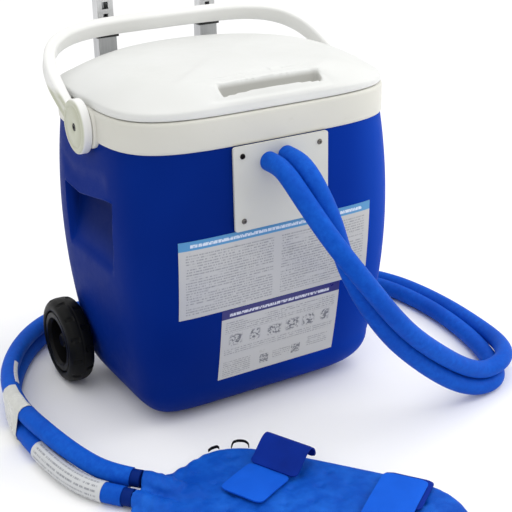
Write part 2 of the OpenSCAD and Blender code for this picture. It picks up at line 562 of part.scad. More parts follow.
module inner_rails() {
  color([0.78, 0.79, 0.81]) rails() difference() {
    box_tube(tube_iw, tube_id, rail_in_lo, rail_in_hi);
    // square locking holes and short slots in the front faces
    for (z = [558, 668, 778]) translate([-5, -tube_id / 2 - 1, z - 5.5]) cube([10, 4, 11]);
    for (z = [543, 653, 763]) translate([-4, -tube_id / 2 - 1, z - 2.5]) cube([8, 4, 5]);
  }
}
module trolley_grip() {
  color([0.09, 0.09, 0.1]) difference() {
    union() {
      rails() translate([-17, -12.5, grip_z - 30]) cube([34, 25, 42]);
      translate([-rail_x, rail_yc, grip_z]) rotate([0, 90, 0]) cylinder(r = grip_bar_r, h = 2 * rail_x, $fn = 64);
      translate([-26, rail_yc - grip_bar_r - 1.5, grip_z - 9]) cube([52, 2 * grip_bar_r + 3, 22]);
    }
    rails() translate([-tube_iw / 2 - 0.05, -tube_id / 2 - 0.05, grip_z - 40]) cube([tube_iw + 0.1, tube_id + 0.1, rail_in_hi - grip_z + 40.1]);
    // well for the button, and the tunnel for the release bar
    translate([0, rail_yc, grip_z - 1]) cylinder(r = 8.1, h = 30, $fn = 64);
    translate([-rail_x - 4, rail_yc - 4.2, grip_z - 11.6]) cube([2 * rail_x + 8, 8.4, 8.2]);
    translate([0, rail_yc, grip_z - 8]) cylinder(r = 2.8, h = 10, $fn = 32);
    rails() translate([0, 0, grip_z - 30]) cylinder(r = 4, h = 20, $fn = 32);
  }
}
module grip_button() {
  color([0.55, 0.08, 0.08]) translate([0, rail_yc, grip_z]) union() {
    translate([0, 0, 8.5]) cylinder(r = 8, h = 6.5, $fn = 64);
    translate([0, 0, 15]) cylinder(r1 = 8, r2 = 6.5, h = 1.5, $fn = 64);
    translate([0, 0, -3.7]) cylinder(r = 2.5, h = 13, $fn = 32);
  }
}
module release_rods() {
  color([0.7, 0.71, 0.73]) union() {
    translate([-rail_x - 3, rail_yc - 3, grip_z - 6.9]) cube([2 * rail_x + 6, 6, 3]);
    rails() translate([0, 0, rail_in_lo + 30]) cylinder(r = 2.5, h = grip_z - 5 - rail_in_lo - 30, $fn = 24);
  }
}
module button_spring() {
  color([0.75, 0.76, 0.78]) translate([0, rail_yc, grip_z - 0.9]) difference() {
    cylinder(r = 6, h = 9.2, $fn = 48);
    translate([0, 0, -1]) cylinder(r = 4.6, h = 12, $fn = 48);
  }
}

// ---------- twin hose ----------
// middle line of the pair: x, y, height of the pair's middle when flat, half spacing, twist in degrees
route = [
  [-7, -174, 396.2, 14, 8], [-7, -204, 396.2, 14, 8], [-10, -233, 389, 14, 8], [-8, -259, 368.5, 14, 8], [2, -281, 335.5, 14, 5], [18, -295, 294.5, 14, -3],
  [42, -302, 252, 14, -18], [76, -304, 203, 14, -32], [115, -304, 157, 14, -46], [162, -302, 116, 14, -60], [208, -298, 80.5, 14, -72], [248, -294, 55, 14, -82],
  [282, -290, 42, 14, -88], [310, -286, 42, 14, -86], [334, -270, 41, 14, -72], [356, -238, 35, 14, -48], [377, -190, 26, 14, -22], [393, -128, 18.5, 14, -8],
  [403, -56, 15.2, 14, -2], [403, 16, 14.2, 14, 0], [394, 84, 14, 14, 0], [368, 144, 14, 14, 0], [322, 192, 14, 14, 0], [258, 228, 14, 14, 0],
  [176, 256, 14, 14, 0], [86, 274, 14, 14, 6], [-10, 284, 14, 14, 18], [-98, 284, 14, 14, 36], [-174, 264, 14, 14, 58], [-230, 232, 14.5, 14, 76],
  [-275, 186, 15, 14, 88], [-311, 132, 16, 14, 94], [-337, 76, 17, 14, 94], [-352, 18, 17, 14, 90], [-357, -42, 17, 14, 80], [-351, -100, 16, 14, 66],
  [-341, -160, 15, 14, 48], [-323, -218, 14, 14.5, 30], [-291, -254, 14, 15, 22]];
rn = len(route);
function rp(i) = i < 0 ? 2 * route[0] - route[1] : i > rn - 1 ? 2 * route[rn - 1] - route[rn - 2] : route[i];
// uniform cubic spline through the route, and its slope
function rs(u) = let (i = min(floor(u), rn - 2), t = u - i)
  (rp(i - 1) * pow(1 - t, 3) + rp(i) * (3 * pow(t, 3) - 6 * t * t + 4) + rp(i + 1) * (-3 * pow(t, 3) + 3 * t * t + 3 * t + 1) + rp(i + 2) * pow(t, 3)) / 6;
function rd(u) = let (i = min(floor(u), rn - 2), t = u - i)
  (-rp(i - 1) * pow(1 - t, 2) + rp(i) * (3 * t * t - 4 * t) + rp(i + 1) * (-3 * t * t + 2 * t + 1) + rp(i + 2) * t * t) / 2;
function unit(v) = v / norm(v);
// heading of the pair, with the rise of the twist left out
function rt(u) = let (d = rd(u)) unit([d[0], d[1], d[2]]);
function side(u) = let (t = rt(u)) unit([-t[1], t[0], 0]);
function across(u) = let (n = side(u), w = cross(rt(u), n), a = rs(u)[4]) n * cos(a) + w * sin(a);
function mid(u) = let (p = rs(u)) [p[0], p[1], p[2] + p[3] * sin(p[4])];
function hose_at(u, s) = mid(u) + across(u) * rs(u)[3] * s;
function hose_t(u, s) = u < 0.02 || u > rn - 1.02 ? rt(u) : unit(hose_at(u + 0.02, s) - hose_at(u - 0.02, s));
function disc(c, t, r, m = 12) = let (n = unit([-t[1], t[0], 0]), w = cross(t, n)) [for (k = [0:m - 1]) let (a = -360 * k / m + 15) c + n * (r * cos(a)) + w * (r * sin(a))];
hose_us = [0:rn - 1];
// ring of radius r round one hose; between whole steps it lies on the straight facets
function hose_ring(u, s, r) = disc(hose_at(u, s), hose_t(u, s), r);
function between(a, b, f) = [for (i = [0:len(a) - 1]) a[i] * (1 - f) + b[i] * f];
module hose(s) { loft([for (u = hose_us) hose_ring(u, s, hose_d / 2)]); }
module supply_hose() { color([0.03, 0.2, 0.72]) hose(-1); }
module return_hose() { color([0.03, 0.2, 0.72]) hose(1); }

// tag wrapped round both hoses, over one straight stretch
function stadium(u, r) = let (t = rt(u), d = across(u), w = cross(t, d), h = rs(u)[3], c = mid(u))
  [for (k = [0:17]) let (q = k < 9 ? 1 : -1, a = -(k < 9 ? k * 22.5 - 90 : 90 + (k - 9) * 22.5)) c + d * (q * h + r * cos(a)) + w * (r * sin(a))];
function tag_ring(u, r) = between(stadium(floor(u), r), stadium(floor(u) + 1, r), u - floor(u));
function label_ring(u, r) = between(hose_ring(floor(u), -1, r), hose_ring(floor(u) + 1, -1, r), u - floor(u));
module hose_tag() {
  us = [32.4, 33, 34, 34.2];
  color([0.9, 0.9, 0.88]) sleeve([for (u = us) tag_ring(u, hose_d / 2 + 2.6)], [for (u = us) tag_ring(u, hose_d / 2 + 1.2)]);
}
module hose_label() {
  us = [35.1, 36, 37, 37.5];
  color([0.88, 0.89, 0.9]) sleeve([for (u = us) label_ring(u, hose_d / 2 + 1)], [for (u = us) label_ring(u, hose_d / 2 + 0.3)]);
}

// ---------- water pad ----------
pad_o = [-285, -262]; pad_a = -48.4;
module pad_place(z = 0) { translate([pad_o[0], pad_o[1], z]) rotate([0, 0, pad_a]) children(); }
module hose_couplings() {
  color([0.03, 0.05, 0.16]) for (s = [-1, 1]) translate(hose_at(rn - 1, s)) rotate([0, 90, pad_a]) cylinder(r = 12, h = 14, $fn = 32);
}
// half outline, along the pad and out from its middle line
half = [[5, 50], [24, 60], [38, 92], [52, 120], [76, 140], [112, 151], [160, 150], [210, 147], [274, 142], [330, 137], [364, 131], [394, 118], [420, 92], [438, 54], [445, 18]];
outline = concat(half, [for (i = [len(half) - 1:-1:0]) [half[i][0], -half[i][1]]]);
module pad_cover() {
  color([0.05, 0.32, 0.78]) difference() {
    union() {
      pad_place() linear_extrude(height = pad_t) polygon(outline);
      // sleeves of the neck
      for (s = [-1, 1]) translate(hose_at(rn - 1, s)) rotate([0, 90, pad_a]) translate([0, 0, 14.2]) cylinder(r = 13, h = 46, $fn = 48);
    }
    pad_place() translate([70, -100, 3]) cube([320, 200, pad_t - 6]);
  }
}
module pad_bladder() { color([0.6, 0.75, 0.9]) pad_place() translate([70.4, -99.6, 3.3]) cube([319.2, 199.2, pad_t - 6.6]); }
// straps: side profile (distance out from the middle line, height) drawn across the pad
module strap(pts, w) { rotate([90, 0, 90]) linear_extrude(height = w, center = true) polygon(pts); }
module strap_folded() {
  b = pad_t + 0.4;
  color([0.02, 0.1, 0.5]) pad_place() translate([128, 0, 0]) rotate([0, 0, -17]) strap([[27, b], [100, b], [108, b + 3], [121, b + 19], [131, b + 26], [138, b + 26], [144, b + 20], [149, b + 1],
    [152, b + 1], [147, b + 22], [140, b + 29], [129, b + 29], [118, b + 21.5], [106, b + 6], [98, b + 2.8], [27, b + 2.8]], 66);
}
module strap_flat() {
  b = pad_t + 0.4;
  color([0.03, 0.16, 0.62]) pad_place() translate([323, 0, 0]) rotate([0, 0, -6]) strap([[24, b], [120, b], [126, b + 1], [130, b + 3], [129, b + 5.6], [124, b + 3.6], [118, b + 2.8], [24, b + 2.8]], 66);
}
module elastic_ends() {
  color([0.06, 0.06, 0.07]) pad_place() {
    translate([57.5, 125.4, 7]) rotate([0, 0, 39.8]) cube([13, 3, 11]);
    translate([86, 143.8, 7]) rotate([0, 0, 17]) cube([20, 3, 14]);
  }
}

outer_shell();
foam_insulation();
inner_liner();
rim_collar();
front_plate();
plate_gasket();
plate_screws();
bulkhead_fittings();
bulkhead_nuts();
upper_label();
lower_label();
pump_housing();
pump_cover();
pump_strainer();
pump_feet();
pump_impeller();
inner_supply_tube();
inner_return_tube();
tube_clamps();
pump_lead();
power_inlet();
inlet_nut();
hinge_bases();
hinge_pins();
lid_shell();
lid_foam();
lid_liner();
lid_gasket();
lid_hinge_leaves();
bail_handle();
bail_screws();
axle_left();
axle_right();
axle_screws();
wheel_left_hub();
wheel_left_tyre();
wheel_right_hub();
wheel_right_tyre();
wheel_caps();
outer_rails();
rail_collars();
rail_plugs();
upper_bracket();
lower_bracket();
bracket_screws();
inner_rails();
trolley_grip();
grip_button();
button_spring();
release_rods();
supply_hose();
return_hose();
hose_couplings();
hose_tag();
hose_label();
pad_cover();
pad_bladder();
strap_folded();
strap_flat();
elastic_ends();
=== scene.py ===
import bpy, bmesh, math, json, random
import numpy as np
from mathutils import Vector, Matrix

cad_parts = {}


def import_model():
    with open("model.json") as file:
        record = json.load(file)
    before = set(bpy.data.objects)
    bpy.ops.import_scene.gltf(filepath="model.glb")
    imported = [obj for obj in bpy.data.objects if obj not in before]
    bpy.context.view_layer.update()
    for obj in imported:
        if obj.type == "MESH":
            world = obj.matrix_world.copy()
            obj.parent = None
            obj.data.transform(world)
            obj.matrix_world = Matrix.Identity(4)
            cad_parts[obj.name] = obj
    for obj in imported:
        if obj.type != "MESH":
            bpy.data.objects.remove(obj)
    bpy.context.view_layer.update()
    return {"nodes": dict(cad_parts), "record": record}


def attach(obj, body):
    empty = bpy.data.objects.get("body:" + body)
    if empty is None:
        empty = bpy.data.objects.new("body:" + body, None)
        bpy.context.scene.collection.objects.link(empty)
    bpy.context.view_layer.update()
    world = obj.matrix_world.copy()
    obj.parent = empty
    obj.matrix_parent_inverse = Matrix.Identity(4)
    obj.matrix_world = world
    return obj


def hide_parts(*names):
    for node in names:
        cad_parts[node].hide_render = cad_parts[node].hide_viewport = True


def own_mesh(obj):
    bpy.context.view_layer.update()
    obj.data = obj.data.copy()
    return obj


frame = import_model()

NODE = frame["nodes"]
S = 0.001
PI = math.pi


def rad(a):
    return math.radians(a)


def cd(a):
    return math.cos(math.radians(a))


def sd(a):
    return math.sin(math.radians(a))


def sstep(a, b, x):
    t = np.clip((np.asarray(x, float) - a) / (b - a), 0, 1)
    return t * t * (3 - 2 * t)


# ------------------------------------------------------------------ camera
yaw, pitch, roll = rad(29.882), rad(22.644), rad(-1.275)
fwd = Vector((math.sin(yaw) * math.cos(pitch), math.cos(yaw) * math.cos(pitch), -math.sin(pitch)))
rgt = Vector((math.cos(yaw), -math.sin(yaw), 0))
upv = rgt.cross(fwd)
r2 = rgt * math.cos(roll) + upv * math.sin(roll)
u2 = -rgt * math.sin(roll) + upv * math.cos(roll)
cam_data = bpy.data.cameras.new("camera")
cam_data.lens = 79.576
cam_data.sensor_width = 36
cam_data.clip_start = 0.05
cam_data.clip_end = 60
cam = bpy.data.objects.new("camera", cam_data)
bpy.context.collection.objects.link(cam)
loc = Vector((-0.76419, -1.42734, 0.86573))
cam.matrix_world = Matrix(((r2.x, u2.x, -fwd.x, loc.x), (r2.y, u2.y, -fwd.y, loc.y), (r2.z, u2.z, -fwd.z, loc.z), (0, 0, 0, 1)))
bpy.context.scene.camera = cam


# ------------------------------------------------------------------ meshes
def finish_mesh(me, sharp=None, smooth=True):
    bm = bmesh.new()
    bm.from_mesh(me)
    bmesh.ops.recalc_face_normals(bm, faces=bm.faces)
    bm.to_mesh(me)
    bm.free()
    for p in me.polygons:
        p.use_smooth = smooth
    if sharp:
        me.set_sharp_from_angle(angle=rad(sharp))
    me.update()


def obj(name, verts, faces, sharp=None, smooth=True):
    me = bpy.data.meshes.new(name)
    me.from_pydata([(v[0] * S, v[1] * S, v[2] * S) for v in verts], [], faces)
    finish_mesh(me, sharp, smooth)
    o = bpy.data.objects.new(name, me)
    bpy.context.collection.objects.link(o)
    return o


class Build:
    """verts and faces of several closed parts, in mm"""

    def __init__(self):
        self.v = []
        self.f = []

    def rings(self, rows, cap=(True, True), closed=False, wrap=True):
        b = len(self.v)
        m = len(rows[0])
        for r in rows:
            self.v.extend([tuple(float(c) for c in p) for p in r])
        k = len(rows)
        for j in range(k if closed else k - 1):
            j2 = (j + 1) % k
            for i in range(m if wrap else m - 1):
                i2 = (i + 1) % m
                self.f.append((b + j * m + i, b + j * m + i2, b + j2 * m + i2, b + j2 * m + i))
        if not closed:
            if cap[0]:
                self.f.append(tuple(b + i for i in range(m))[::-1])
            if cap[1]:
                self.f.append(tuple(b + (k - 1) * m + i for i in range(m)))
        return self

    def make(self, name, sharp=None, smooth=True):
        return obj(name, self.v, self.f, sharp, smooth)


def lathe(profile, place, n=96):
    """closed profile of (radius, height) points turned about an axis; place maps (x, y, z) to the row frame"""
    rows = []
    for r, h in profile:
        rows.append([place((r * math.cos(2 * PI * i / n), r * math.sin(2 * PI * i / n), h)) for i in range(n)])
    return rows


def join(name, objs):
    bm = bmesh.new()
    for o in objs:
        bm.from_mesh(o.data)
    me = bpy.data.meshes.new(name)
    bm.to_mesh(me)
    bm.free()
    for o in objs:
        bpy.data.objects.remove(o)
    o = bpy.data.objects.new(name, me)
    bpy.context.collection.objects.link(o)
    return o


def bevel(o, w, seg=2, angle=35):
    m = o.modifiers.new("bevel", "BEVEL")
    m.width = w * S
    m.segments = seg
    m.limit_method = "ANGLE"
    m.angle_limit = rad(angle)
    m.harden_normals = False
    for p in o.data.polygons:
        p.use_smooth = True
    return m


def apply_mods(o):
    dg = bpy.context.evaluated_depsgraph_get()
    me = bpy.data.meshes.new_from_object(o.evaluated_get(dg))
    o.modifiers.clear()
    old = o.data
    o.data = me
    bpy.data.meshes.remove(old)


# ------------------------------------------------------------------ materials
def lin(c):
    c = c / 255.0
    return c / 12.92 if c <= 0.04045 else ((c + 0.055) / 1.055) ** 2.4


def col(r, g, b):
    return (lin(r), lin(g), lin(b), 1.0)


class Mat:
    def __init__(self, name, base, rough=0.4, metal=0.0, spec=0.5, coat=0.0, coat_rough=0.1, sheen=0.0, ior=1.5, alpha=1.0, transmission=0.0, sss=0.0):
        self.m = bpy.data.materials.new(name)
        self.m.use_nodes = True
        self.t = self.m.node_tree
        self.b = self.t.nodes["Principled BSDF"]
        self.b.inputs["Base Color"].default_value = base
        self.b.inputs["Roughness"].default_value = rough
        self.b.inputs["Metallic"].default_value = metal
        self.b.inputs["Specular IOR Level"].default_value = spec
        self.b.inputs["Coat Weight"].default_value = coat
        self.b.inputs["Coat Roughness"].default_value = coat_rough
        self.b.inputs["Sheen Weight"].default_value = sheen
        self.b.inputs["IOR"].default_value = ior
        if sheen:
            self.b.inputs["Sheen Roughness"].default_value = 0.5
        if transmission:
            self.b.inputs["Transmission Weight"].default_value = transmission
        if sss:
            self.b.inputs["Subsurface Weight"].default_value = sss
            self.b.inputs["Subsurface Radius"].default_value = (0.004, 0.004, 0.004)
        self.tc = self.t.nodes.new("ShaderNodeTexCoord")
        self.obj = self.tc.outputs["Object"]
        self.h = []

    def node(self, kind, **kw):
        n = self.t.nodes.new(kind)
        for k, v in kw.items():
            setattr(n, k, v)
        return n

    def link(self, a, b):
        self.t.links.new(a, b)

    def noise(self, scale, detail=3, rough=0.55, vec=None, distortion=0.0):
        n = self.node("ShaderNodeTexNoise")
        n.inputs["Scale"].default_value = scale
        n.inputs["Detail"].default_value = detail
        n.inputs["Roughness"].default_value = rough
        n.inputs["Distortion"].default_value = distortion
        self.link(vec or self.obj, n.inputs["Vector"])
        return n.outputs["Fac"]

    def math(self, op, a, b=None, c=None, clamp=False):
        n = self.node("ShaderNodeMath", operation=op)
        n.use_clamp = clamp
        for i, x in enumerate((a, b, c)):
            if x is None:
                continue
            if isinstance(x, (int, float)):
                n.inputs[i].default_value = x
            else:
                self.link(x, n.inputs[i])
        return n.outputs[0]

    def map(self, v, a, b, c, d, smooth=False):
        n = self.node("ShaderNodeMapRange")
        if smooth:
            n.interpolation_type = "SMOOTHSTEP"
        for i, x in zip(("Value", "From Min", "From Max", "To Min", "To Max"), (v, a, b, c, d)):
            if isinstance(x, (int, float)):
                n.inputs[i].default_value = x
            else:
                self.link(x, n.inputs[i])
        return n.outputs["Result"]

    def mix(self, f, a, b):
        n = self.node("ShaderNodeMix", data_type="RGBA")
        for k, x in ((0, f), (6, a), (7, b)):
            if isinstance(x, (int, float)):
                n.inputs[k].default_value = x
            elif isinstance(x, tuple):
                n.inputs[k].default_value = x
            else:
                self.link(x, n.inputs[k])
        return n.outputs[2]

    def xyz(self, vec=None):
        n = self.node("ShaderNodeSeparateXYZ")
        self.link(vec or self.obj, n.inputs[0])
        return n.outputs[0], n.outputs[1], n.outputs[2]

    def scale(self, x, y, z, rot=(0, 0, 0)):
        n = self.node("ShaderNodeMapping")
        n.inputs["Scale"].default_value = (x, y, z)
        n.inputs["Rotation"].default_value = rot
        self.link(self.obj, n.inputs["Vector"])
        return n.outputs[0]

    def colour(self, socket):
        self.link(socket, self.b.inputs["Base Color"])

    def rough(self, socket):
        self.link(socket, self.b.inputs["Roughness"])

    def bump(self, heights):
        """heights: list of (socket, distance in mm)"""
        prev = None
        for h, d in heights:
            n = self.node("ShaderNodeBump")
            n.inputs["Strength"].default_value = 1.0
            n.inputs["Distance"].default_value = d * S
            self.link(h, n.inputs["Height"])
            if prev is not None:
                self.link(prev, n.inputs["Normal"])
            prev = n.outputs["Normal"]
        self.link(prev, self.b.inputs["Normal"])

    def edge_wear(self, radius=2.0):
        """0 on flats, towards 1 on convex edges"""
        g = self.node("ShaderNodeNewGeometry")
        return self.map(g.outputs["Pointiness"], 0.5, 0.62, 0.0, 1.0)


def plastic(name, base, base2=None, rough=0.38, grain=0.05, wave=0.25, spec=0.5, coat=0.0, sss=0.0, grime=None):
    """moulded plastic: faint tone drift, fine grain, slow surface waviness, scuffs in the gloss"""
    m = Mat(name, base, rough, spec=spec, coat=coat, sss=sss)
    big = m.noise(6, 2)
    fine = m.noise(420, 2)
    scuff = m.noise(55, 6, 0.7, distortion=0.4)
    b2 = base2 or tuple(min(1.0, c * 0.88) for c in base[:3]) + (1.0,)
    c = m.mix(m.map(big, 0.35, 0.65, 0.0, 1.0), base, b2)
    if grime:
        c = m.mix(m.math("MULTIPLY", m.map(scuff, 0.6, 0.85, 0.0, 1.0), 0.35), c, grime)
    m.colour(c)
    r = m.map(scuff, 0.35, 0.8, rough - 0.05, rough + 0.12)
    m.rough(m.math("ADD", r, m.map(fine, 0.4, 0.6, -0.02, 0.02)))
    m.bump([(big, wave), (fine, grain)])
    return m.m


def metal(name, base, rough=0.3, axis="z", streak=900):
    m = Mat(name, base, rough, metal=1.0)
    sc = {"z": (streak, streak, 6), "x": (6, streak, streak), "y": (streak, 6, streak)}[axis]
    v = m.scale(*sc)
    s = m.noise(1.0, 4, 0.6, vec=v)
    big = m.noise(14, 3)
    m.colour(m.mix(m.map(s, 0.3, 0.7, 0.0, 1.0), base, tuple(c * 0.82 for c in base[:3]) + (1.0,)))
    m.rough(m.math("ADD", m.map(s, 0.3, 0.7, rough - 0.07, rough + 0.08), m.map(big, 0.3, 0.7, -0.04, 0.05)))
    m.bump([(s, 0.02)])
    return m.m


def rubber(name, base, rough=0.6):
    m = Mat(name, base, rough, spec=0.14)
    fine = m.noise(700, 3)
    dust = m.noise(40, 5, 0.65)
    m.colour(m.mix(m.map(dust, 0.45, 0.8, 0.0, 0.35), base, tuple(min(1, c * 1.8 + 0.005) for c in base[:3]) + (1.0,)))
    m.rough(m.map(dust, 0.3, 0.7, rough - 0.08, rough + 0.1))
    m.bump([(fine, 0.05), (dust, 0.12)])
    return m.m


BLUE = col(2, 35, 118)
M = {}


def shell_mat():
    """moulded blue plastic, painted from deep to lighter blue across the tub as light falling from the right"""
    m = Mat("shell_blue", BLUE, 0.5, spec=0.018)
    x, y, z = m.xyz()
    big = m.noise(6, 2)
    fine = m.noise(420, 2)
    scuff = m.noise(55, 6, 0.7, distortion=0.4)
    c = m.mix(m.map(big, 0.35, 0.65, 0, 1), col(5, 38, 122), col(4, 35, 116))
    # painted light: the albedo turns lighter blue towards +x, standing in for light falling on the right of the tub
    c = m.mix(m.map(x, -0.03, 0.1, 0.0, 1.0, True), c, col(4, 46, 144))
    c = m.mix(m.map(x, 0.1, 0.2, 0.0, 1.0, True), c, col(15, 66, 172))
    # painted shade inside the hand grips, darker where the pocket is deeper
    ax = m.math("ABSOLUTE", x)
    grip_painted_shade = m.math("MULTIPLY", m.map(ax, 0.2125, 0.2035, 0.0, 1.0), m.math("MULTIPLY", m.math("MULTIPLY", m.map(ax, 0.186, 0.188, 0.0, 1.0), m.map(y, 0.085, 0.081, 0.0, 1.0)), m.map(y, -0.102, -0.094, 0.0, 1.0)))
    grip_painted_shade = m.math("MULTIPLY", grip_painted_shade, m.math("MULTIPLY", m.map(z, 0.352, 0.349, 0.0, 1.0), m.map(z, 0.225, 0.262, 0.0, 1.0)))
    c = m.mix(m.math("MULTIPLY", grip_painted_shade, 0.75), c, col(0, 20, 76))
    m.colour(c)
    m.rough(m.math("ADD", m.map(scuff, 0.35, 0.8, 0.4, 0.56), m.map(fine, 0.4, 0.6, -0.02, 0.02)))
    m.bump([(big, 0.5), (fine, 0.035)])
    return m.m


M["blue_shell"] = shell_mat()
M["rim_cream"] = plastic("rim_cream", col(209, 208, 200), col(204, 203, 194), rough=0.42, grain=0.02, wave=0.35, spec=0.35, sss=0.04, grime=col(186, 184, 172))
def lid_mat():
    """moulded white, with painted shade and some grime inside the finger recess"""
    m = Mat("lid_white", col(218, 219, 217), 0.44, spec=0.4, sss=0.05)
    x, y, z = m.xyz()
    big = m.noise(6, 2)
    fine = m.noise(420, 2)
    scuff = m.noise(50, 6, 0.7, distortion=0.4)
    ax = m.math("ABSOLUTE", x)
    # painted shade, with some grime, in the finger recess
    recess_shade_grime = m.math("MULTIPLY", m.math("MULTIPLY", m.map(ax, 0.0795, 0.078, 0.0, 1.0), m.map(z, 0.5015, 0.4955, 0.0, 1.0)), m.math("MULTIPLY", m.map(y, -0.1545, -0.152, 0.0, 1.0), m.map(y, -0.134, -0.136, 0.0, 1.0)))
    c = m.mix(m.map(big, 0.35, 0.65, 0, 1), col(218, 219, 217), col(213, 214, 211))
    m.colour(m.mix(m.math("MULTIPLY", recess_shade_grime, 0.7), c, col(158, 157, 150)))
    m.rough(m.map(scuff, 0.35, 0.8, 0.38, 0.54))
    m.bump([(big, 0.35), (fine, 0.03)])
    return m.m


M["lid_white"] = lid_mat()
M["bail_white"] = plastic("bail_white", col(230, 230, 228), col(225, 225, 222), rough=0.36, grain=0.02, wave=0.2, spec=0.4, sss=0.04)
M["plate_white"] = plastic("plate_white", col(208, 208, 200), col(202, 202, 194), rough=0.34, grain=0.015, wave=0.1)
M["liner_white"] = plastic("liner_white", col(232, 232, 228), rough=0.4)
M["hinge_white"] = plastic("hinge_white", col(226, 225, 217), rough=0.45)
M["foam"] = plastic("foam_cream", col(236, 226, 190), rough=0.85, grain=0.4, spec=0.2)
M["fitting_dark"] = plastic("fitting_dark", col(38, 39, 44), rough=0.45, grain=0.04)
M["pump_black"] = plastic("pump_black", col(30, 30, 33), rough=0.4)
M["impeller_grey"] = plastic("impeller_grey", col(190, 190, 184), rough=0.4)
M["strainer_grey"] = plastic("strainer_grey", col(90, 96, 104), rough=0.5)
M["tube_clear"] = plastic("tube_vinyl", col(205, 214, 222), rough=0.2, spec=0.5)
M["grip_black"] = plastic("grip_black", col(28, 28, 30), rough=0.5, grain=0.12)
M["button_red"] = plastic("button_red", col(150, 30, 28), rough=0.35)
M["coupling_navy"] = plastic("coupling_navy", col(4, 36, 112), rough=0.5, spec=0.05)
M["bladder"] = plastic("bladder_film", col(150, 190, 230), rough=0.3)
M["wheel_hub"] = plastic("hub_black", col(7, 7, 8), rough=0.42, grain=0.06, spec=0.14)
M["gasket_black"] = rubber("gasket_black", col(26, 26, 28), 0.7)
M["lead_black"] = rubber("lead_black", col(20, 20, 20), 0.5)
M["wheel_tyre"] = rubber("tyre_black", col(7, 8, 8), 0.46)
M["screw_steel"] = metal("screw_steel", col(170, 170, 172), 0.35, "y", 300)
M["axle_steel"] = metal("axle_steel", col(180, 181, 184), 0.25, "x")
M["spring_steel"] = metal("spring_steel", col(190, 191, 194), 0.3, "z")
M["rail_outer"] = metal("rail_grey", col(200, 201, 203), 0.42, "z")
M["rail_inner"] = metal("rail_bright", col(226, 227, 228), 0.4, "z")
M["bracket"] = plastic("bracket_grey", col(118, 120, 124), rough=0.4, grain=0.1)
M["elastic_black"] = rubber("elastic_black", col(20, 20, 22), 0.8)


def bail_mat():
    """white band; the outer faces of the eyes painted darker as shade, with a creamier tint"""
    m = Mat("bail_white", col(231, 231, 229), 0.38, spec=0.4, sss=0.04)
    x, y, z = m.xyz()
    big = m.noise(6, 2)
    fine = m.noise(420, 2)
    scuff = m.noise(50, 6, 0.7, distortion=0.4)
    ax = m.math("ABSOLUTE", x)
    # painted shade on the outer faces of the eyes, with a creamier tint
    eye_face_shade = m.math("MULTIPLY", m.map(z, 0.474, 0.484, 1.0, 0.0), m.map(ax, 0.2325, 0.2345, 0.0, 1.0))
    c = m.mix(m.map(big, 0.35, 0.65, 0, 1), col(232, 232, 230), col(226, 226, 223))
    m.colour(m.mix(eye_face_shade, c, col(186, 188, 169)))
    m.rough(m.map(scuff, 0.35, 0.8, 0.32, 0.5))
    m.bump([(big, 0.2), (fine, 0.02)])
    return m.m


M["bail_white"] = bail_mat()


def plate_screw_mat():
    m = Mat("screw_dark", col(120, 118, 114), 0.4, metal=1.0)
    x, y, z = m.xyz()
    a = m.math("MULTIPLY", m.map(x, -0.01, 0.0, 1.0, 0.0), m.map(z, 0.36, 0.37, 0.0, 1.0))
    n = m.noise(300, 3)
    c = m.mix(m.map(n, 0.3, 0.7, 0, 1), col(128, 124, 118), col(92, 90, 88))
    m.colour(m.mix(a, c, col(34, 32, 32)))
    m.rough(m.map(n, 0.3, 0.7, 0.32, 0.5))
    m.bump([(n, 0.03)])
    return m.m


M["screw_dark"] = plate_screw_mat()
FALL = {"hose_blue": M["blue_shell"], "tag_white": M["plate_white"], "label_film": M["plate_white"], "label_dark": M["blue_shell"], "pad_blue": M["blue_shell"],
        "strap_navy": M["blue_shell"], "strap_blue": M["blue_shell"]}
for sp in frame["record"]["subparts"]:
    o = NODE[sp["node"]]
    mt = M.get(sp["material_slot"]) or FALL.get(sp["material_slot"])
    if not o.data.materials:
        o.data.materials.append(mt)
    for i in range(len(o.data.materials)):
        o.data.materials[i] = mt


def dress(o, mat, body="cooler", rep=()):
    o.data.materials.clear()
    o.data.materials.append(mat)
    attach(o, body)
    if rep:
        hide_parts(*rep)
    return o


# ------------------------------------------------------------------ hoses
ROUTE = np.array([
    [-7, -174, 396.2, 14, 8], [-7, -204, 396.2, 14, 8], [-10, -233, 389, 14, 8], [-8, -259, 368.5, 14, 8], [2, -281, 335.5, 14, 5], [18, -295, 294.5, 14, -3],
    [42, -302, 252, 14, -18], [76, -304, 203, 14, -32], [115, -304, 157, 14, -46], [162, -302, 116, 14, -60], [208, -298, 80.5, 14, -72], [248, -294, 55, 14, -82],
    [282, -290, 42, 14, -88], [310, -286, 42, 14, -86], [334, -270, 41, 14, -72], [356, -238, 35, 14, -48], [377, -190, 26, 14, -22], [393, -128, 18.5, 14, -8],
    [403, -56, 15.2, 14, -2], [403, 16, 14.2, 14, 0], [394, 84, 14, 14, 0], [368, 144, 14, 14, 0], [322, 192, 14, 14, 0], [258, 228, 14, 14, 0],
    [176, 256, 14, 14, 0], [86, 274, 14, 14, 6], [-10, 284, 14, 14, 18], [-98, 284, 14, 14, 36], [-174, 264, 14, 14, 58], [-230, 232, 14.5, 14, 76],
    [-275, 186, 15, 14, 88], [-311, 132, 16, 14, 94], [-337, 76, 17, 14, 94], [-352, 18, 17, 14, 90], [-357, -42, 17, 14, 80], [-351, -100, 16, 14, 66],
    [-341, -160, 15, 14, 48], [-323, -218, 14, 14.5, 30], [-291, -254, 14, 15, 22]], float)
RN = len(ROUTE)
RR = np.vstack([2 * ROUTE[0] - ROUTE[1], ROUTE, 2 * ROUTE[-1] - ROUTE[-2]])
HOSE_R = 13.5


def rs(u):
    i = int(min(math.floor(u), RN - 2))
    t = u - i
    p = RR[i:i + 4]
    return ((1 - t) ** 3 * p[0] + (3 * t ** 3 - 6 * t * t + 4) * p[1] + (-3 * t ** 3 + 3 * t * t + 3 * t + 1) * p[2] + t ** 3 * p[3]) / 6


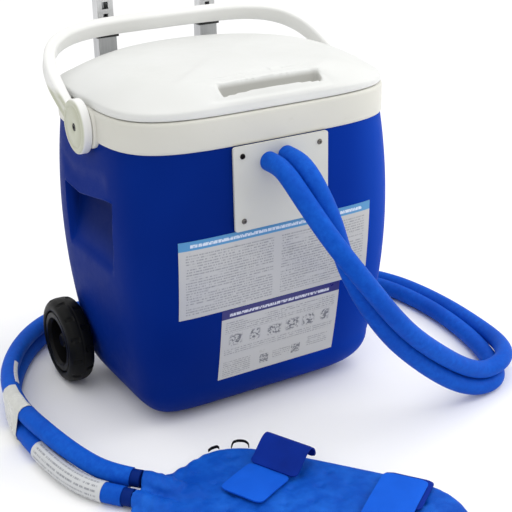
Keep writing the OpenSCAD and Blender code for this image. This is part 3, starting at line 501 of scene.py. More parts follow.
def rd(u):
    i = int(min(math.floor(u), RN - 2))
    t = u - i
    p = RR[i:i + 4]
    d = (-(1 - t) ** 2 * p[0] + (3 * t * t - 4 * t) * p[1] + (-3 * t * t + 2 * t + 1) * p[2] + t * t * p[3]) / 2
    d = d[:3]
    return d / np.linalg.norm(d)


def across(u):
    t = rd(u)
    n = np.array([-t[1], t[0], 0.0])
    n /= np.linalg.norm(n)
    w = np.cross(t, n)
    a = math.radians(rs(u)[4])
    return n * math.cos(a) + w * math.sin(a)


def mid(u):
    p = rs(u)
    return np.array([p[0], p[1], p[2] + p[3] * math.sin(math.radians(p[4]))])


def hose_at(u, s):
    return mid(u) + across(u) * rs(u)[3] * s


def tube_rows(pts, radii, n=28, up=(0, 0, 1), sq=None):
    """rings round a line of points; sq gives (width, height) factors"""
    pts = np.array(pts, float)
    k = len(pts)
    tan = np.gradient(pts, axis=0)
    tan /= np.linalg.norm(tan, axis=1)[:, None]
    ref = np.array(up, float)
    nrm = ref - tan[0] * (ref @ tan[0])
    if np.linalg.norm(nrm) < 0.2:
        ref = np.array([1.0, 0, 0])
        nrm = ref - tan[0] * (ref @ tan[0])
    nrm /= np.linalg.norm(nrm)
    rows = []
    for i in range(k):
        nrm = nrm - tan[i] * (nrm @ tan[i])
        nrm /= np.linalg.norm(nrm)
        b = np.cross(tan[i], nrm)
        r = radii[i] if hasattr(radii, "__len__") else radii
        a, c = (1, 1) if sq is None else sq[i]
        rows.append([pts[i] + nrm * (r * c * math.cos(2 * PI * j / n)) + b * (r * a * math.sin(2 * PI * j / n)) for j in range(n)])
    return rows


HU = np.linspace(0, RN - 1, (RN - 1) * 7 + 1)


def hose_mat():
    m = Mat("hose_foam_blue", col(12, 80, 184), 0.5, spec=0.05)
    pore = m.noise(900, 3)
    mid_ = m.noise(120, 4, 0.6)
    big = m.noise(9, 3)
    c = m.mix(m.map(mid_, 0.35, 0.7, 0, 1), col(13, 78, 184), col(22, 92, 198))
    c = m.mix(m.map(big, 0.4, 0.7, 0, 0.6), c, col(10, 66, 168))
    m.colour(c)
    m.rough(m.map(mid_, 0.3, 0.7, 0.48, 0.62))
    m.bump([(big, 0.8), (mid_, 0.18), (pore, 0.06)])
    return m.m


M["hose_blue"] = hose_mat()
HOSES = {}
for s, node in ((-1, "supply_hose"), (1, "return_hose")):
    pts = [hose_at(u, s) for u in HU]
    rng = np.random.RandomState(11 + s)
    # slow, slight unevenness of a foam sleeve
    k = len(pts)
    wob = np.interp(np.arange(k), np.arange(0, k + 9, 9), rng.uniform(-0.22, 0.16, (k + 9) // 9 + 1)[:len(np.arange(0, k + 9, 9))])
    rows = tube_rows(pts, HOSE_R + wob, 32)
    o = Build().rings(rows).make(node + "_foam", 50)
    dress(o, M["hose_blue"], "cooler", (node,))
    HOSES[s] = o
    o["pts"] = 0
    HOSES[(s, "pts")] = pts


# ------------------------------------------------------------------ body shape
TA, TB, BA, BB, FR, ZR, ZS = 215.0, 168.0, 198.5, 135.0, 65.0, 424.0, 467.0


def wa(z):
    s = min((z - FR) / (ZR - FR), 1)
    return BA + (TA - BA) * s + 48 * s * (1 - s)


def wb(z):
    s = min((z - FR) / (ZR - FR), 1)
    return BB + (TB - BB) * s + 48 * s * (1 - s)


def wn(z):
    return 7.4 - 3.2 * min((z - FR) / (ZR - FR), 1)


def ring(a, b, n, z, right, rear, left, front, nc=16, kx=1.0, ky=1.0):
    """superellipse ring: y values on the sides, x values at front and rear, corners between them"""
    P = []

    def side(vals, sx):
        for v in vals:
            y = v * ky
            P.append((sx * a * (1 - min(1, abs(y / b)) ** n) ** (1 / n), y, z))

    def flat_(vals, sy):
        for v in vals:
            x = v * kx
            P.append((x, sy * b * (1 - min(1, abs(x / a)) ** n) ** (1 / n), z))

    def corner(ye, xe, sx, sy, rev):
        t1 = math.asin(min(1, abs(ye * ky) / b) ** (n / 2))
        t2 = math.acos(min(1, abs(xe * kx) / a) ** (n / 2))
        q = [(i + 1) / (nc + 1) for i in range(nc)]
        if rev:
            q = q[::-1]
        for f in q:
            t = t1 + (t2 - t1) * f
            P.append((sx * a * math.cos(t) ** (2 / n), sy * b * math.sin(t) ** (2 / n), z))
    side(right, 1)
    corner(right[-1], rear[0], 1, 1, False)
    flat_(rear, 1)
    corner(left[0], rear[-1], -1, 1, True)
    side(left, -1)
    corner(left[-1], front[0], -1, -1, False)
    flat_(front, -1)
    corner(right[0], front[-1], 1, -1, True)
    return P


SIDE = [-112, -106, -101, -97, -94.5, -93, -91.5, -90, -88.5, -87, -85.5, -84, -82, -79, -75, -70, -64, -57] + list(range(-50, 64, 7)) + [66, 69, 71, 73, 75, 77, 79, 81, 84, 89, 96, 104, 112]
FLATX = list(range(-165, 166, 15))


def grip_lip(y):
    """height of the pocket's upper edge: lowest in the middle, rising to the front"""
    v = 0.0
    for d, k in ((-6, 0.25), (0, 0.5), (6, 0.25)):
        v += k * float(np.interp(y + d, [-91, -68, -24, 21, 74], [348.6, 347.4, 339.6, 332.5, 336.5]))
    return v


def grip_cut(P):
    """hand grip pressed into each side, and the shallow dish above it"""
    out = []
    for x, y, z in P:
        s = 1 if x > 0 else -1
        ax = abs(x)
        if ax > 185 and 205 < z < 412:
            # the front edge of the pocket leans back towards its foot
            y0 = -90 + 3 * float(sstep(345, 300, z)) + 6 * float(sstep(285, 250, z))
            e = float(sstep(y0, y0 + 4.5, y) * (1 - sstep(71, 79, y)))
            lip = grip_lip(y)
            if z <= lip and e > 0:
                if z > 321:
                    fl = 195 + 1.0 * (350 - z) / 29
                elif z > 251:
                    fl = 196 + 16 * (321 - z) / 70
                else:
                    fl = 212 + 13 * (251 - z) / 22
                k = float(sstep(lip, lip - 4.5, z))
                ax -= max(0.0, ax - fl) * k * e
            else:
                # raised bead along the lip, then the dish
                ax += 0.9 * e * math.exp(-((z - lip - 1.6) / 1.6) ** 2)
                cz = lip + 24
                q = 1 - ((z - cz) / 21.0) ** 2
                ed = float(sstep(-86, -50, y) * (1 - sstep(56, 90, y)))
                if q > 0:
                    ax -= 2.9 * q * q * ed
        # room beside the wheels
        rr = math.hypot(y - 103, z - 67)
        if rr < 84 and ax > 195:
            lim = 206.2 + 6 * float(sstep(72, 84, rr))
            ax = min(ax, lim)
        out.append((s * ax, y, z))
    return out


rows = []
for t in np.linspace(90, 6, 15):
    o_ = FR * (1 - cd(t))
    z = FR * (1 - sd(t))
    a, b = BA - o_, BB - o_
    rows.append(ring(a, b, 7.4, z, SIDE, FLATX[::-1], SIDE[::-1], FLATX, 16, a / BA, b / BB))
zs_ = list(np.arange(65, 205, 10)) + list(np.arange(205, 300, 6)) + list(np.arange(300, 324, 4)) + list(np.arange(324, 353, 1.0)) + list(np.arange(353, 392, 3)) + [396, 402, 410, 418, 423.8]
for z in zs_:
    rows.append(grip_cut(ring(wa(z), wb(z), wn(z), z, SIDE, FLATX[::-1], SIDE[::-1], FLATX)))
outer = rows
# inner skin, a wall's thickness in
inner = []
for r in rows:
    q = []
    for x, y, z in r:
        L = math.hypot(x, y)
        k = (L - 3.6) / L
        q.append((x * k, y * k, max(z + 0.0, 3.4) if z < 3.4 else z))
    inner.append(q)
bld = Build()
bld.rings(outer + inner[::-1], cap=(True, True))
shell = bld.make("shell_smooth", 60)
dress(shell, M["blue_shell"], "cooler", ("outer_shell",))

# axle bosses on the shell
bl = Build()
for sx in (-1, 1):
    pr = [(0.5, 0), (20, 0), (20, 8), (20.6, 10), (23, 12), (0.5, 12)]
    bl.rings(lathe(pr, lambda p, sx=sx: (sx * (204.0 - p[2]), 103 + p[0], 67 + p[1]), 48))
boss = bl.make("axle_bosses", 40)
dress(boss, M["blue_shell"], "cooler")

# ------------------------------------------------------------------ rim collar
RF = [float(v) for v in np.linspace(-165, 165, 45)]
RS_ = [float(v) for v in np.linspace(-112, 112, 30)]
prof = [(-28.2, 463.6), (-28.2, 466.2), (-27.4, 467.0), (-3.0, 467.0), (-0.6, 466.7), (0.8, 465.7), (1.7, 463.8), (2.0, 461.0), (2.0, 428.5), (1.8, 426.0), (1.0, 424.3), (-0.4, 423.7), (-3.2, 423.7), (-3.2, 463.6)]
rows = [ring(TA + o_, TB + o_, 4.2, z, RS_, RF[::-1], RS_[::-1], RF, 26) for o_, z in prof]
bld = Build().rings(rows, closed=True)
# rounded ears behind the eyes, with the posts
for sx in (-1, 1):
    er = []
    for dx, k in ((-10.0, 1.0), (-2.2, 1.0), (-0.9, 0.985), (-0.2, 0.95), (0.0, 0.9)):
        er.append([(sx * (220.9 + dx), -18 + sx * (37 * k * np.sign(cd(a)) * abs(cd(a)) ** (2 / 3.4)), 440.5 + 28.3 * k * np.sign(sd(a)) * abs(sd(a)) ** (2 / 3.4)) for a in np.arange(0, 360, 6)])
    bld.rings(er)
    bld.rings(lathe([(0.5, 0), (10, 0), (10, 9.4), (9.4, 9.9), (3.1, 9.9), (3.1, 4.0), (0.5, 4.0)], lambda p, sx=sx: (sx * (220.8 + p[2]), -18 + p[0], 441 + p[1]), 48))
rim = bld.make("rim_smooth", 40)
dress(rim, M["rim_cream"], "cooler", ("rim_collar",))


# ------------------------------------------------------------------ lid
def recess(P):
    out = []
    for x, y, z in P:
        if y < -118 and abs(x) < 118 and z > 470:
            # the shallow tapered surround
            half_w = 96 - 24 * float(sstep(-160, -136, y))
            e = float((1 - sstep(half_w - 6, half_w + 6, abs(x))) * (1 - sstep(-137, -131, y)) * sstep(482, 489, z))
            z -= 2.2 * e
            y += 1.2 * e
            # the slot
            ex = float(1 - sstep(72, 80, abs(x)))
            if ex > 0:
                if y < -158.5:
                    fl = 600.0
                elif y < -154.5:
                    fl = 494 - 10.5 * float(sstep(-158.5, -155.0, y))
                elif y < -143.5:
                    fl = 483.5
                else:
                    fl = 483.5 + 21.5 * float(sstep(-143.5, -137.0, y))
                if fl < z:
                    z = z + (fl - z) * ex
        out.append((x, y, z))
    return out


LF = [f * 215 for f in list(np.linspace(-0.78, -0.46, 7)) + list(np.linspace(-0.445, 0.445, 79)) + list(np.linspace(0.46, 0.78, 7))]
LR = [f * 215 for f in np.linspace(0.78, -0.78, 36)]
LS = [f * 168 for f in np.linspace(-0.72, 0.72, 30)]


def lring(a, b, n, z):
    return ring(a, b, n, z, LS, LR, LS[::-1], LF, 24, a / 215, b / 168)


rows = [lring(178.4, 131.4, 4.2, 467.9), lring(206, 159, 4.2, 467.8), lring(212.6, 165.6, 4.2, 467.8), lring(214.2, 167.2, 4.2, 468.4), lring(214.9, 167.9, 4.2, 469.6), lring(215, 168, 4.2, 471.6), lring(215, 168, 4.2, 473.2), lring(215, 168, 4.2, 474.8), lring(215, 168, 4.2, 476.4), lring(215, 168, 4.2, 477.6)]
for t in np.concatenate([np.linspace(0, 50, 18), np.linspace(52, 90, 36)]):
    k = 1 - cd(t)
    rows.append(lring(215 - 61.5 * k, 168 - 23.3 * k, 4.2 - 2.0 * sd(t), 478.6 + 26.8 * sd(t) ** 1.8))
for k in list(np.arange(0.992, 0.84, -0.008)) + list(np.linspace(0.82, 0.04, 16)):
    rows.append(lring(153.5 * k, 144.7 * k, 2.2, 505.4 + 4 * (1 - k * k)))
prof_ = np.array(rows)
for _ in range(14):
    prof_[7:22] = 0.25 * prof_[6:21] + 0.5 * prof_[7:22] + 0.25 * prof_[8:23]
rows = [[tuple(c) for c in r] for r in prof_]
rows = rows[:6] + [recess(r) for r in rows[6:]]
lid = Build().rings(rows).make("lid_smooth", 55)
dress(lid, M["lid_white"], "lid", ("lid_shell",))

# ------------------------------------------------------------------ bail
BA_, BL_, BM_, TILT = 228.0, 204.0, 4.4, 63.0


def bp(t):
    return np.array([-BA_ * np.sign(cd(t)) * abs(cd(t)) ** (2 / BM_), BL_ * abs(sd(t)) ** (2 / BM_)])


# even spacing along the bar
tt = np.concatenate([np.linspace(0.25, 8, 120), np.linspace(8, 172, 900)[1:], np.linspace(172, 179.75, 120)[1:]])
pp = np.array([bp(t) for t in tt])
acc = np.concatenate([[0], np.cumsum(np.linalg.norm(np.diff(pp, axis=0), axis=1))])
q = np.linspace(0, acc[-1], 150)
line = np.array([np.interp(q, acc, pp[:, i]) for i in (0, 1)]).T
for _ in range(3):
    line[1:-1] = 0.25 * line[:-2] + 0.5 * line[1:-1] + 0.25 * line[2:]
tan = np.gradient(line, axis=0)
tan /= np.linalg.norm(tan, axis=1)[:, None]


def bail_place(px, out, w):
    """px in-plane point, w across the plane"""
    x, v = px
    return (x, -18 + v * sd(TILT) - w * cd(TILT), 441 + v * cd(TILT) + w * sd(TILT))


def bail_section(p, h):
    """half thickness p, half width h; outer side is +p and carries a shallow channel"""
    r = 4.6
    pts = []
    for cx, cy, a0 in ((p - r, h - r, 0), (-(p - r), h - r, 90), (-(p - r), -(h - r), 180), (p - r, -(h - r), 270)):
        for j in range(6):
            a = a0 + 18 * j
            pts.append([cx + r * cd(a), cy + r * sd(a)])
    # channel on the outer face, between the last and first corner points
    ch = [(p, -(h - r) + 2.0), (p - 1.4, -(h - r) + 4.2), (p - 1.8, -2.0), (p - 1.8, 2.0), (p - 1.4, h - r - 4.2), (p, h - r - 2.0)]
    return pts + [list(c) for c in ch]


rows = []
for i in range(len(line)):
    v = line[i][1]
    p = 6.7 + 1.8 * min(1, v / 90)
    h = 13 + 0.0 * v
    n2 = np.array([-tan[i][1], tan[i][0]])     # to the outside of the loop
    rows.append([bail_place(line[i] + n2 * a, 1, w) for a, w in bail_section(p, h)])
bld = Build().rings(rows)
for sx in (-1, 1):
    pr = [(10.05, 0), (36.2, 0), (37.6, 0.6), (38, 1.8), (38, 10.6), (37.4, 12.4), (35.6, 13.6), (33, 14.0), (30.5, 13.9), (29.6, 13.2), (28.2, 13.2), (27.3, 13.9), (14, 14.2), (7.2, 14.0), (5.6, 13.2), (5.4, 9.9), (3.1, 9.9), (3.1, 9.7), (10.05, 9.7)]
    bld.rings(lathe(pr, lambda p, sx=sx: (sx * (221.3 + p[2]), -18 + p[0] * (1 if p[0] > 0 else 1 - 0.12 * float(sstep(10.1, 24, math.hypot(p[0], p[1])))), 441 + p[1]), 96), closed=True)
bail = bld.make("bail_smooth", 42)
dress(bail, M["bail_white"], "bail", ("bail_handle",))


# ------------------------------------------------------------------ labels on the bowed front
def front_y(x, z):
    a, b, n = wa(z), wb(z), wn(z)
    return -b * (1 - min(1, abs(x / a)) ** n) ** (1 / n)


def patch(name, x0, x1, z0, z1, off, thick, nx=60, nz=30, r=2.0):
    """thin sheet that follows the front wall"""
    def row(z, o_):
        out = []
        for i in range(nx + 1):
            x = x0 + (x1 - x0) * i / nx
            out.append((x, front_y(x, z) - o_, z))
        return out
    v = []
    f = []
    for o_ in (off + thick, off):
        for j in range(nz + 1):
            v += row(z0 + (z1 - z0) * j / nz, o_)
    m = nx + 1
    h = m * (nz + 1)
    for j in range(nz):
        for i in range(nx):
            a = j * m + i
            f.append((a, a + 1, a + m + 1, a + m))
            f.append((h + a, h + a + m, h + a + m + 1, h + a + 1))
    for i in range(nx):
        f.append((i, h + i, h + i + 1, i + 1))
        a = nz * m + i
        f.append((a, a + 1, h + a + 1, h + a))
    for j in range(nz):
        a = j * m
        f.append((a, a + m, h + a + m, h + a))
        a = j * m + nx
        f.append((a, h + a, h + a + m, a + m))
    return obj(name, v, f, 40)


def label_mat(name, paper, head, head_z, cols_, pitch, z_top, z_bot, ink, blocks=(), icons=()):
    """printed film: header band, rows of broken grey lines in columns, blocks and small marks, none of them readable"""
    m = Mat(name, paper, 0.32, spec=0.5)
    x, y, z = m.xyz()
    xm = m.math("MULTIPLY", x, 1000.0)
    zm = m.math("MULTIPLY", z, 1000.0)
    c = m.mix(m.map(m.noise(4, 2), 0.4, 0.65, 0.0, 1.0), paper, tuple(k * 0.95 for k in paper[:3]) + (1.0,))

    def band(v, a, b, soft=0.25):
        return m.math("MULTIPLY", m.map(v, a - soft, a + soft, 0.0, 1.0), m.map(v, b - soft, b + soft, 1.0, 0.0))

    rowi = m.math("FLOOR", m.math("DIVIDE", zm, pitch))
    fr = m.math("FRACT", m.math("DIVIDE", zm, pitch))
    line_ = band(fr, 0.22, 0.62, 0.12)
    comb = m.node("ShaderNodeCombineXYZ")
    m.link(m.math("MULTIPLY", xm, 0.55), comb.inputs[0])
    m.link(m.math("MULTIPLY", rowi, 7.31), comb.inputs[2])
    word = m.noise(1.0, 1, 0.5, vec=comb.outputs[0])
    comb2 = m.node("ShaderNodeCombineXYZ")
    m.link(m.math("MULTIPLY", rowi, 3.77), comb2.inputs[2])
    m.link(m.math("MULTIPLY", xm, 0.012), comb2.inputs[0])
    para = m.noise(1.0, 1, 0.5, vec=comb2.outputs[0])
    ink_f = m.math("MULTIPLY", line_, m.map(word, 0.42, 0.5, 0.0, 1.0))
    ink_f = m.math("MULTIPLY", ink_f, m.map(para, 0.36, 0.42, 0.0, 1.0))
    colmask = None
    for a, b, zt, zb in cols_:
        k = m.math("MULTIPLY", band(xm, a, b), band(zm, zb, zt))
        colmask = k if colmask is None else m.math("MAXIMUM", colmask, k)
    ink_f = m.math("MULTIPLY", m.math("MULTIPLY", ink_f, colmask), 0.62)
    for a, b, z0, z1, cell in blocks:
        # checked block
        vx = m.math("FLOOR", m.math("DIVIDE", xm, cell))
        vz = m.math("FLOOR", m.math("DIVIDE", zm, cell))
        cc = m.node("ShaderNodeCombineXYZ")
        m.link(vx, cc.inputs[0])
        m.link(vz, cc.inputs[1])
        wn_ = m.node("ShaderNodeTexWhiteNoise", noise_dimensions="2D")
        m.link(cc.outputs[0], wn_.inputs["Vector"])
        k = m.math("MULTIPLY", m.math("MULTIPLY", band(xm, a, b), band(zm, z0, z1)), m.map(wn_.outputs["Value"], 0.42, 0.46, 0.15, 0.85))
        ink_f = m.math("MAXIMUM", ink_f, k)
    for a, b, z0, z1, seed in icons:
        nn = m.noise(260, 2, 0.6, vec=m.scale(1, 1, 1, (0, 0, seed)))
        k = m.math("MULTIPLY", m.math("MULTIPLY", band(xm, a, b, 2.0), band(zm, z0, z1, 2.0)), m.map(nn, 0.48, 0.53, 0.0, 0.9))
        ink_f = m.math("MAXIMUM", ink_f, k)
    c = m.mix(ink_f, c, ink)
    hd = m.map(zm, head_z - 0.3, head_z + 0.3, 0.0, 1.0)
    hl = m.math("MULTIPLY", band(zm, head_z + 3.6, head_z + 8.2, 0.4), m.math("MULTIPLY", m.map(word, 0.4, 0.47, 0.0, 0.75), band(xm, cols_[0][0] + 6, cols_[-1][1] - 6)))
    hc = m.mix(hl, head, (0.85, 0.87, 0.92, 1))
    m.colour(m.mix(hd, c, hc))
    m.rough(m.map(m.noise(30, 4), 0.3, 0.7, 0.26, 0.4))
    m.bump([(m.noise(10, 2), 0.2), (m.noise(500, 2), 0.01)])
    return m.m


up = patch("label_upper", -157, 156, 183, 302, 0.2, 0.3)
dress(up, label_mat("label_upper_print", col(191, 191, 189), col(72, 142, 192), 288.5,
                    [(-147, -10, 282, 188), (3, 146, 282, 190)], 4.1, 284, 186, col(96, 99, 106), blocks=((128, 141, 193, 206, 1.3),)), "cooler", ("upper_label",))
lo = patch("label_lower", -90.5, 108.5, 58, 182, 0.2, 0.3)
dress(lo, label_mat("label_lower_print", col(192, 192, 190), col(34, 32, 108), 167,
                    [(-84, 102, 162, 142), (-84, 102, 116, 103), (-84, -38, 92, 66), (0, 30, 90, 74), (60, 96, 96, 80)], 3.6, 164, 64, col(96, 98, 106),
                    blocks=((-22, -7, 72, 88, 1.6), (33, 48, 74, 90, 1.6)),
                    icons=((-76, -56, 120, 138, 0.3), (-42, -26, 120, 138, 1.1), (-12, 10, 120, 136, 2.0), (19, 41, 120, 138, 2.9), (48, 68, 120, 138, 4.1), (80, 94, 121, 139, 5.0))), "cooler", ("lower_label",))

# ------------------------------------------------------------------ CAD parts that stay, softened edges
for n_, w in (("front_plate", 0.7), ("outer_rails", 1.2), ("inner_rails", 1.0), ("rail_collars", 1.2), ("rail_plugs", 0.8), ("upper_bracket", 0.8), ("lower_bracket", 0.8),
              ("trolley_grip", 2.0), ("hinge_bases", 0.5), ("lid_hinge_leaves", 0.5), ("wheel_caps", 0.5), ("hose_couplings", 0.8), ("grip_button", 0.3),
              ("wheel_left_hub", 1.2), ("wheel_right_hub", 1.2)):
    bevel(NODE[n_], w, 2, 38)

# ------------------------------------------------------------------ tyres
TP = [(49.2, 3), (49.2, 36.5), (50, 38.8), (52.5, 40), (56, 39.9), (59.5, 38.6), (62.5, 36.4), (64.6, 33.6)]
TP += [(67 - 0.0075 * abs(h - 20) ** 2.1, h) for h in np.linspace(32, 8, 21)]
TP += [(64.6, 6.4), (62.5, 3.6), (59.5, 1.4), (56, 0.1), (52.5, 0), (50, 1.2)]
TN = 288
for sx, nm in ((-1, "left"), (1, "right")):
    rows = []
    for r_, h_ in TP:
        row = []
        for i in range(TN):
            a = 360 * i / TN
            rr_ = r_
            if r_ > 61:
                k = int(a // 15)
                hc = 29.5 if k % 2 == 0 else 10.5
                fa = abs(a - (15 * k + 7.5))
                rr_ -= 2.4 * float((1 - sstep(2.0, 3.3, fa)) * (1 - sstep(4.6, 6.4, abs(h_ - hc))))
                rr_ -= 0.5 * math.exp(-((h_ - 20) / 0.9) ** 2)
            row.append((sx * (208 + h_), 103 + rr_ * cd(a), 67 + rr_ * sd(a)))
        rows.append(row)
    ty = Build().rings(rows, closed=True).make("tyre_" + nm, 40)
    dress(ty, M["wheel_tyre"], "wheel_" + nm, ("wheel_" + nm + "_tyre",))

# coil spring under the grip button
sp_pts = [(5.3 * cd(360 * 4.5 * f), 204.5 + 5.3 * sd(360 * 4.5 * f), 961.8 + 7.7 * f) for f in np.linspace(0, 1, 160)]
spring = Build().rings(tube_rows(sp_pts, 0.6, 10)).make("coil_spring", 60)
dress(spring, M["spring_steel"], "trolley", ("button_spring",))
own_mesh(spring)

# ------------------------------------------------------------------ hose tags
def stadium(u, r, n=14):
    t = rd(u)
    d = across(u)
    w = np.cross(t, d)
    h = rs(u)[3]
    c = mid(u)
    P = []
    for q_, a0 in ((1, -90), (-1, 90)):
        for k in range(n + 1):
            a = a0 + 180 * k / n
            P.append(c + d * (q_ * h + r * cd(a)) + w * (r * sd(a)))
    return P


def film_mat(name, paper, pitch, along=None):
    m = Mat(name, paper, 0.3, spec=0.5)
    n1 = m.noise(60, 3)
    crease = m.noise(90, 4, 0.6, distortion=1.2)
    m.colour(m.mix(m.map(n1, 0.4, 0.6, 0, 1), paper, tuple(k * 0.9 for k in paper[:3]) + (1.0,)))
    m.rough(m.map(n1, 0.3, 0.7, 0.22, 0.4))
    m.bump([(crease, 0.6)])
    return m.m


def sleeve(name, us, fo, fi):
    bld = Build()
    o_ = [fo(u) for u in us]
    i_ = [fi(u) for u in us]
    bld.rings(o_ + i_[::-1], closed=True)
    return bld.make(name, 50)


def hose_frame(u, s):
    c = hose_at(u, s)
    t = hose_at(min(u + 0.05, RN - 1), s) - hose_at(max(u - 0.05, 0), s)
    t /= np.linalg.norm(t)
    n = np.array([-t[1], t[0], 0.0])
    n /= np.linalg.norm(n)
    return c, t, n, np.cross(t, n)


def circ(u, s, r, n=36):
    c, t, a, b = hose_frame(u, s)
    return [c + a * (r * cd(360 * k / n)) + b * (r * sd(360 * k / n)) for k in range(n)]


def tag_rings(t, r, wob):
    """band over the top and the inner side of the pair; it starts later on the lower hose and is a little crumpled"""
    P = []
    n = 14
    for q_, a0, a1 in ((-1, 194, 90), (1, 90, -18)):
        for k in range(n + 1):
            a = a0 + (a1 - a0) * k / n
            u0 = 32.95 if q_ > 0 else 33.2
            u = u0 + (34.1 - u0) * t
            tt_ = rd(u)
            d = across(u)
            w = np.cross(tt_, d)
            h = rs(u)[3]
            rr_ = r + wob * math.sin(5 * t + 0.11 * a) * math.cos(9 * t - 0.07 * a + q_)
            P.append(mid(u) + d * (q_ * h + rr_ * cd(a)) + w * (rr_ * sd(a)))
    return P


tag_ts = np.linspace(0, 1, 18)
tag = Build().rings([tag_rings(t, HOSE_R + 1.6, 0.55) + tag_rings(t, HOSE_R + 0.8, 0.3)[::-1] for t in tag_ts]).make("hose_tag_wrap", 50)
dress(tag, film_mat("tag_film", col(204, 205, 200), 3), "cooler", ("hose_tag",))


def hose_label_mat():
    m = Mat("hose_label_print", col(196, 198, 200), 0.34, spec=0.5)
    # printed grey lines that run round the hose, broken along its length
    at = m.node("ShaderNodeAttribute", attribute_name="UVMap")
    x, y, z = m.xyz(at.outputs["Vector"])
    rowf = m.math("FRACT", m.math("MULTIPLY", y, 13.0))
    rowi = m.math("FLOOR", m.math("MULTIPLY", y, 13.0))
    ln = m.math("MULTIPLY", m.map(rowf, 0.2, 0.3, 0, 1), m.map(rowf, 0.6, 0.7, 1, 0))
    cb = m.node("ShaderNodeCombineXYZ")
    m.link(m.math("MULTIPLY", x, 90.0), cb.inputs[0])
    m.link(m.math("MULTIPLY", rowi, 5.3), cb.inputs[1])
    wd = m.noise(1.0, 1, 0.5, vec=cb.outputs[0])
    msk = m.math("MULTIPLY", m.math("MULTIPLY", m.map(x, 0.04, 0.06, 0, 1), m.map(x, 0.94, 0.96, 1, 0)), m.math("MULTIPLY", m.map(y, 0.12, 0.14, 0, 1), m.map(y, 0.62, 0.64, 1, 0)))
    f = m.math("MULTIPLY", m.math("MULTIPLY", ln, m.map(wd, 0.42, 0.5, 0, 1)), m.math("MULTIPLY", msk, 0.6))
    m.colour(m.mix(f, col(196, 198, 200), col(84, 88, 100)))
    m.rough(m.map(m.noise(60, 3), 0.3, 0.7, 0.28, 0.42))
    m.bump([(m.noise(90, 3), 0.35)])
    return m.m


lab_us = np.linspace(35.02, 37.45, 22)
lab = sleeve("hose_label_sleeve", lab_us, lambda u: circ(u, -1, HOSE_R + 0.9), lambda u: circ(u, -1, HOSE_R + 0.3))
me = lab.data
uv = me.uv_layers.new(name="UVMap")
nn_ = 36
for poly in me.polygons:
    for li in poly.loop_indices:
        vi = me.loops[li].vertex_index
        r_, c_ = divmod(vi, nn_)
        r_ = r_ if r_ < len(lab_us) else 2 * len(lab_us) - 1 - r_
        uv.data[li].uv = (r_ / (len(lab_us) - 1), c_ / nn_)
dress(lab, hose_label_mat(), "cooler", ("hose_label",))

# narrow strip above the tag
st_us = np.linspace(31.55, 32.7, 10)
strip = []
b2 = Build()


def strip_pt(u, a, r):
    c, t, n, w = hose_frame(u, 1)
    return c + n * (r * cd(a)) + w * (r * sd(a))


ro = [[strip_pt(u, a, HOSE_R + 1.0) for a in (30, 37, 44, 51, 58)] for u in st_us]
ri = [[strip_pt(u, a, HOSE_R + 0.35) for a in (58, 51, 44, 37, 30)] for u in st_us]
b2.rings([x + y for x, y in zip(ro, ri)])
stp = b2.make("hose_strip", 50)
dress(stp, film_mat("strip_film", col(232, 233, 234), 3), "cooler")

# ------------------------------------------------------------------ pad
PO = np.array([-285.0, -262.0])
PA = -48.4
ES = np.array([cd(PA), sd(PA)])
ET = np.array([-sd(PA), cd(PA)])


def pad_xy(s, t):
    p = PO + ES * s + ET * t
    return float(p[0]), float(p[1])


def pad_st(x, y):
    d = np.array([x, y]) - PO
    return float(d @ ES), float(d @ ET)


HALF = [(5, 42), (25, 57), (40, 92), (53, 120), (76, 140), (112, 151), (160, 150), (210, 147), (274, 142), (330, 137), (364, 131), (394, 118), (420, 92), (438, 54), (445, 18)]
OUT = HALF + [(s, -t) for s, t in HALF[::-1]]


def smooth_closed(P, n=12):
    """rounded closed line through the corners' middles"""
    P = np.array(P, float)
    k = len(P)
    res = []
    for i in range(k):
        a, b, c = P[i], P[(i + 1) % k], P[(i + 2) % k]
        m0, m1 = (a + b) / 2, (b + c) / 2
        for j in range(n):
            t = j / n
            res.append((1 - t) ** 2 * m0 + 2 * t * (1 - t) * b + t * t * m1)
    return np.array(res)


def inset(P, d):
    k = len(P)
    tg = np.roll(P, -1, axis=0) - np.roll(P, 1, axis=0)
    tg /= np.linalg.norm(tg, axis=1)[:, None]
    nrm = np.stack([-tg[:, 1], tg[:, 0]], 1)
    area = 0.5 * np.sum(P[:, 0] * np.roll(P[:, 1], -1) - np.roll(P[:, 0], -1) * P[:, 1])
    return P + nrm * d * (1 if area > 0 else -1)


edge = smooth_closed(OUT, 4)


def pad_ring(P, z):
    return [(*pad_xy(p[0], p[1]), z) for p in P]


# welded dimples: staggered rows
DIMP = []
for i, s_ in enumerate(np.arange(58, 430, 34)):
    for t_ in np.arange(-136 + (17 if i % 2 else 0), 137, 34):
        DIMP.append((float(s_), float(t_)))


def inside(P, q):
    x, y = q
    c = False
    k = len(P)
    j = k - 1
    for i in range(k):
        if (P[i][1] > y) != (P[j][1] > y) and x < (P[j][0] - P[i][0]) * (y - P[i][1]) / (P[j][1] - P[i][1]) + P[i][0]:
            c = not c
        j = i
    return c


core = inset(edge, 13)
DIMP = [d for d in DIMP if inside(core, d)]
NECK = []
for s in (-1, 1):
    e0 = hose_at(RN - 1, s)
    ss, ts = pad_st(e0[0], e0[1])
    NECK.append((ss, ts, float(e0[2])))


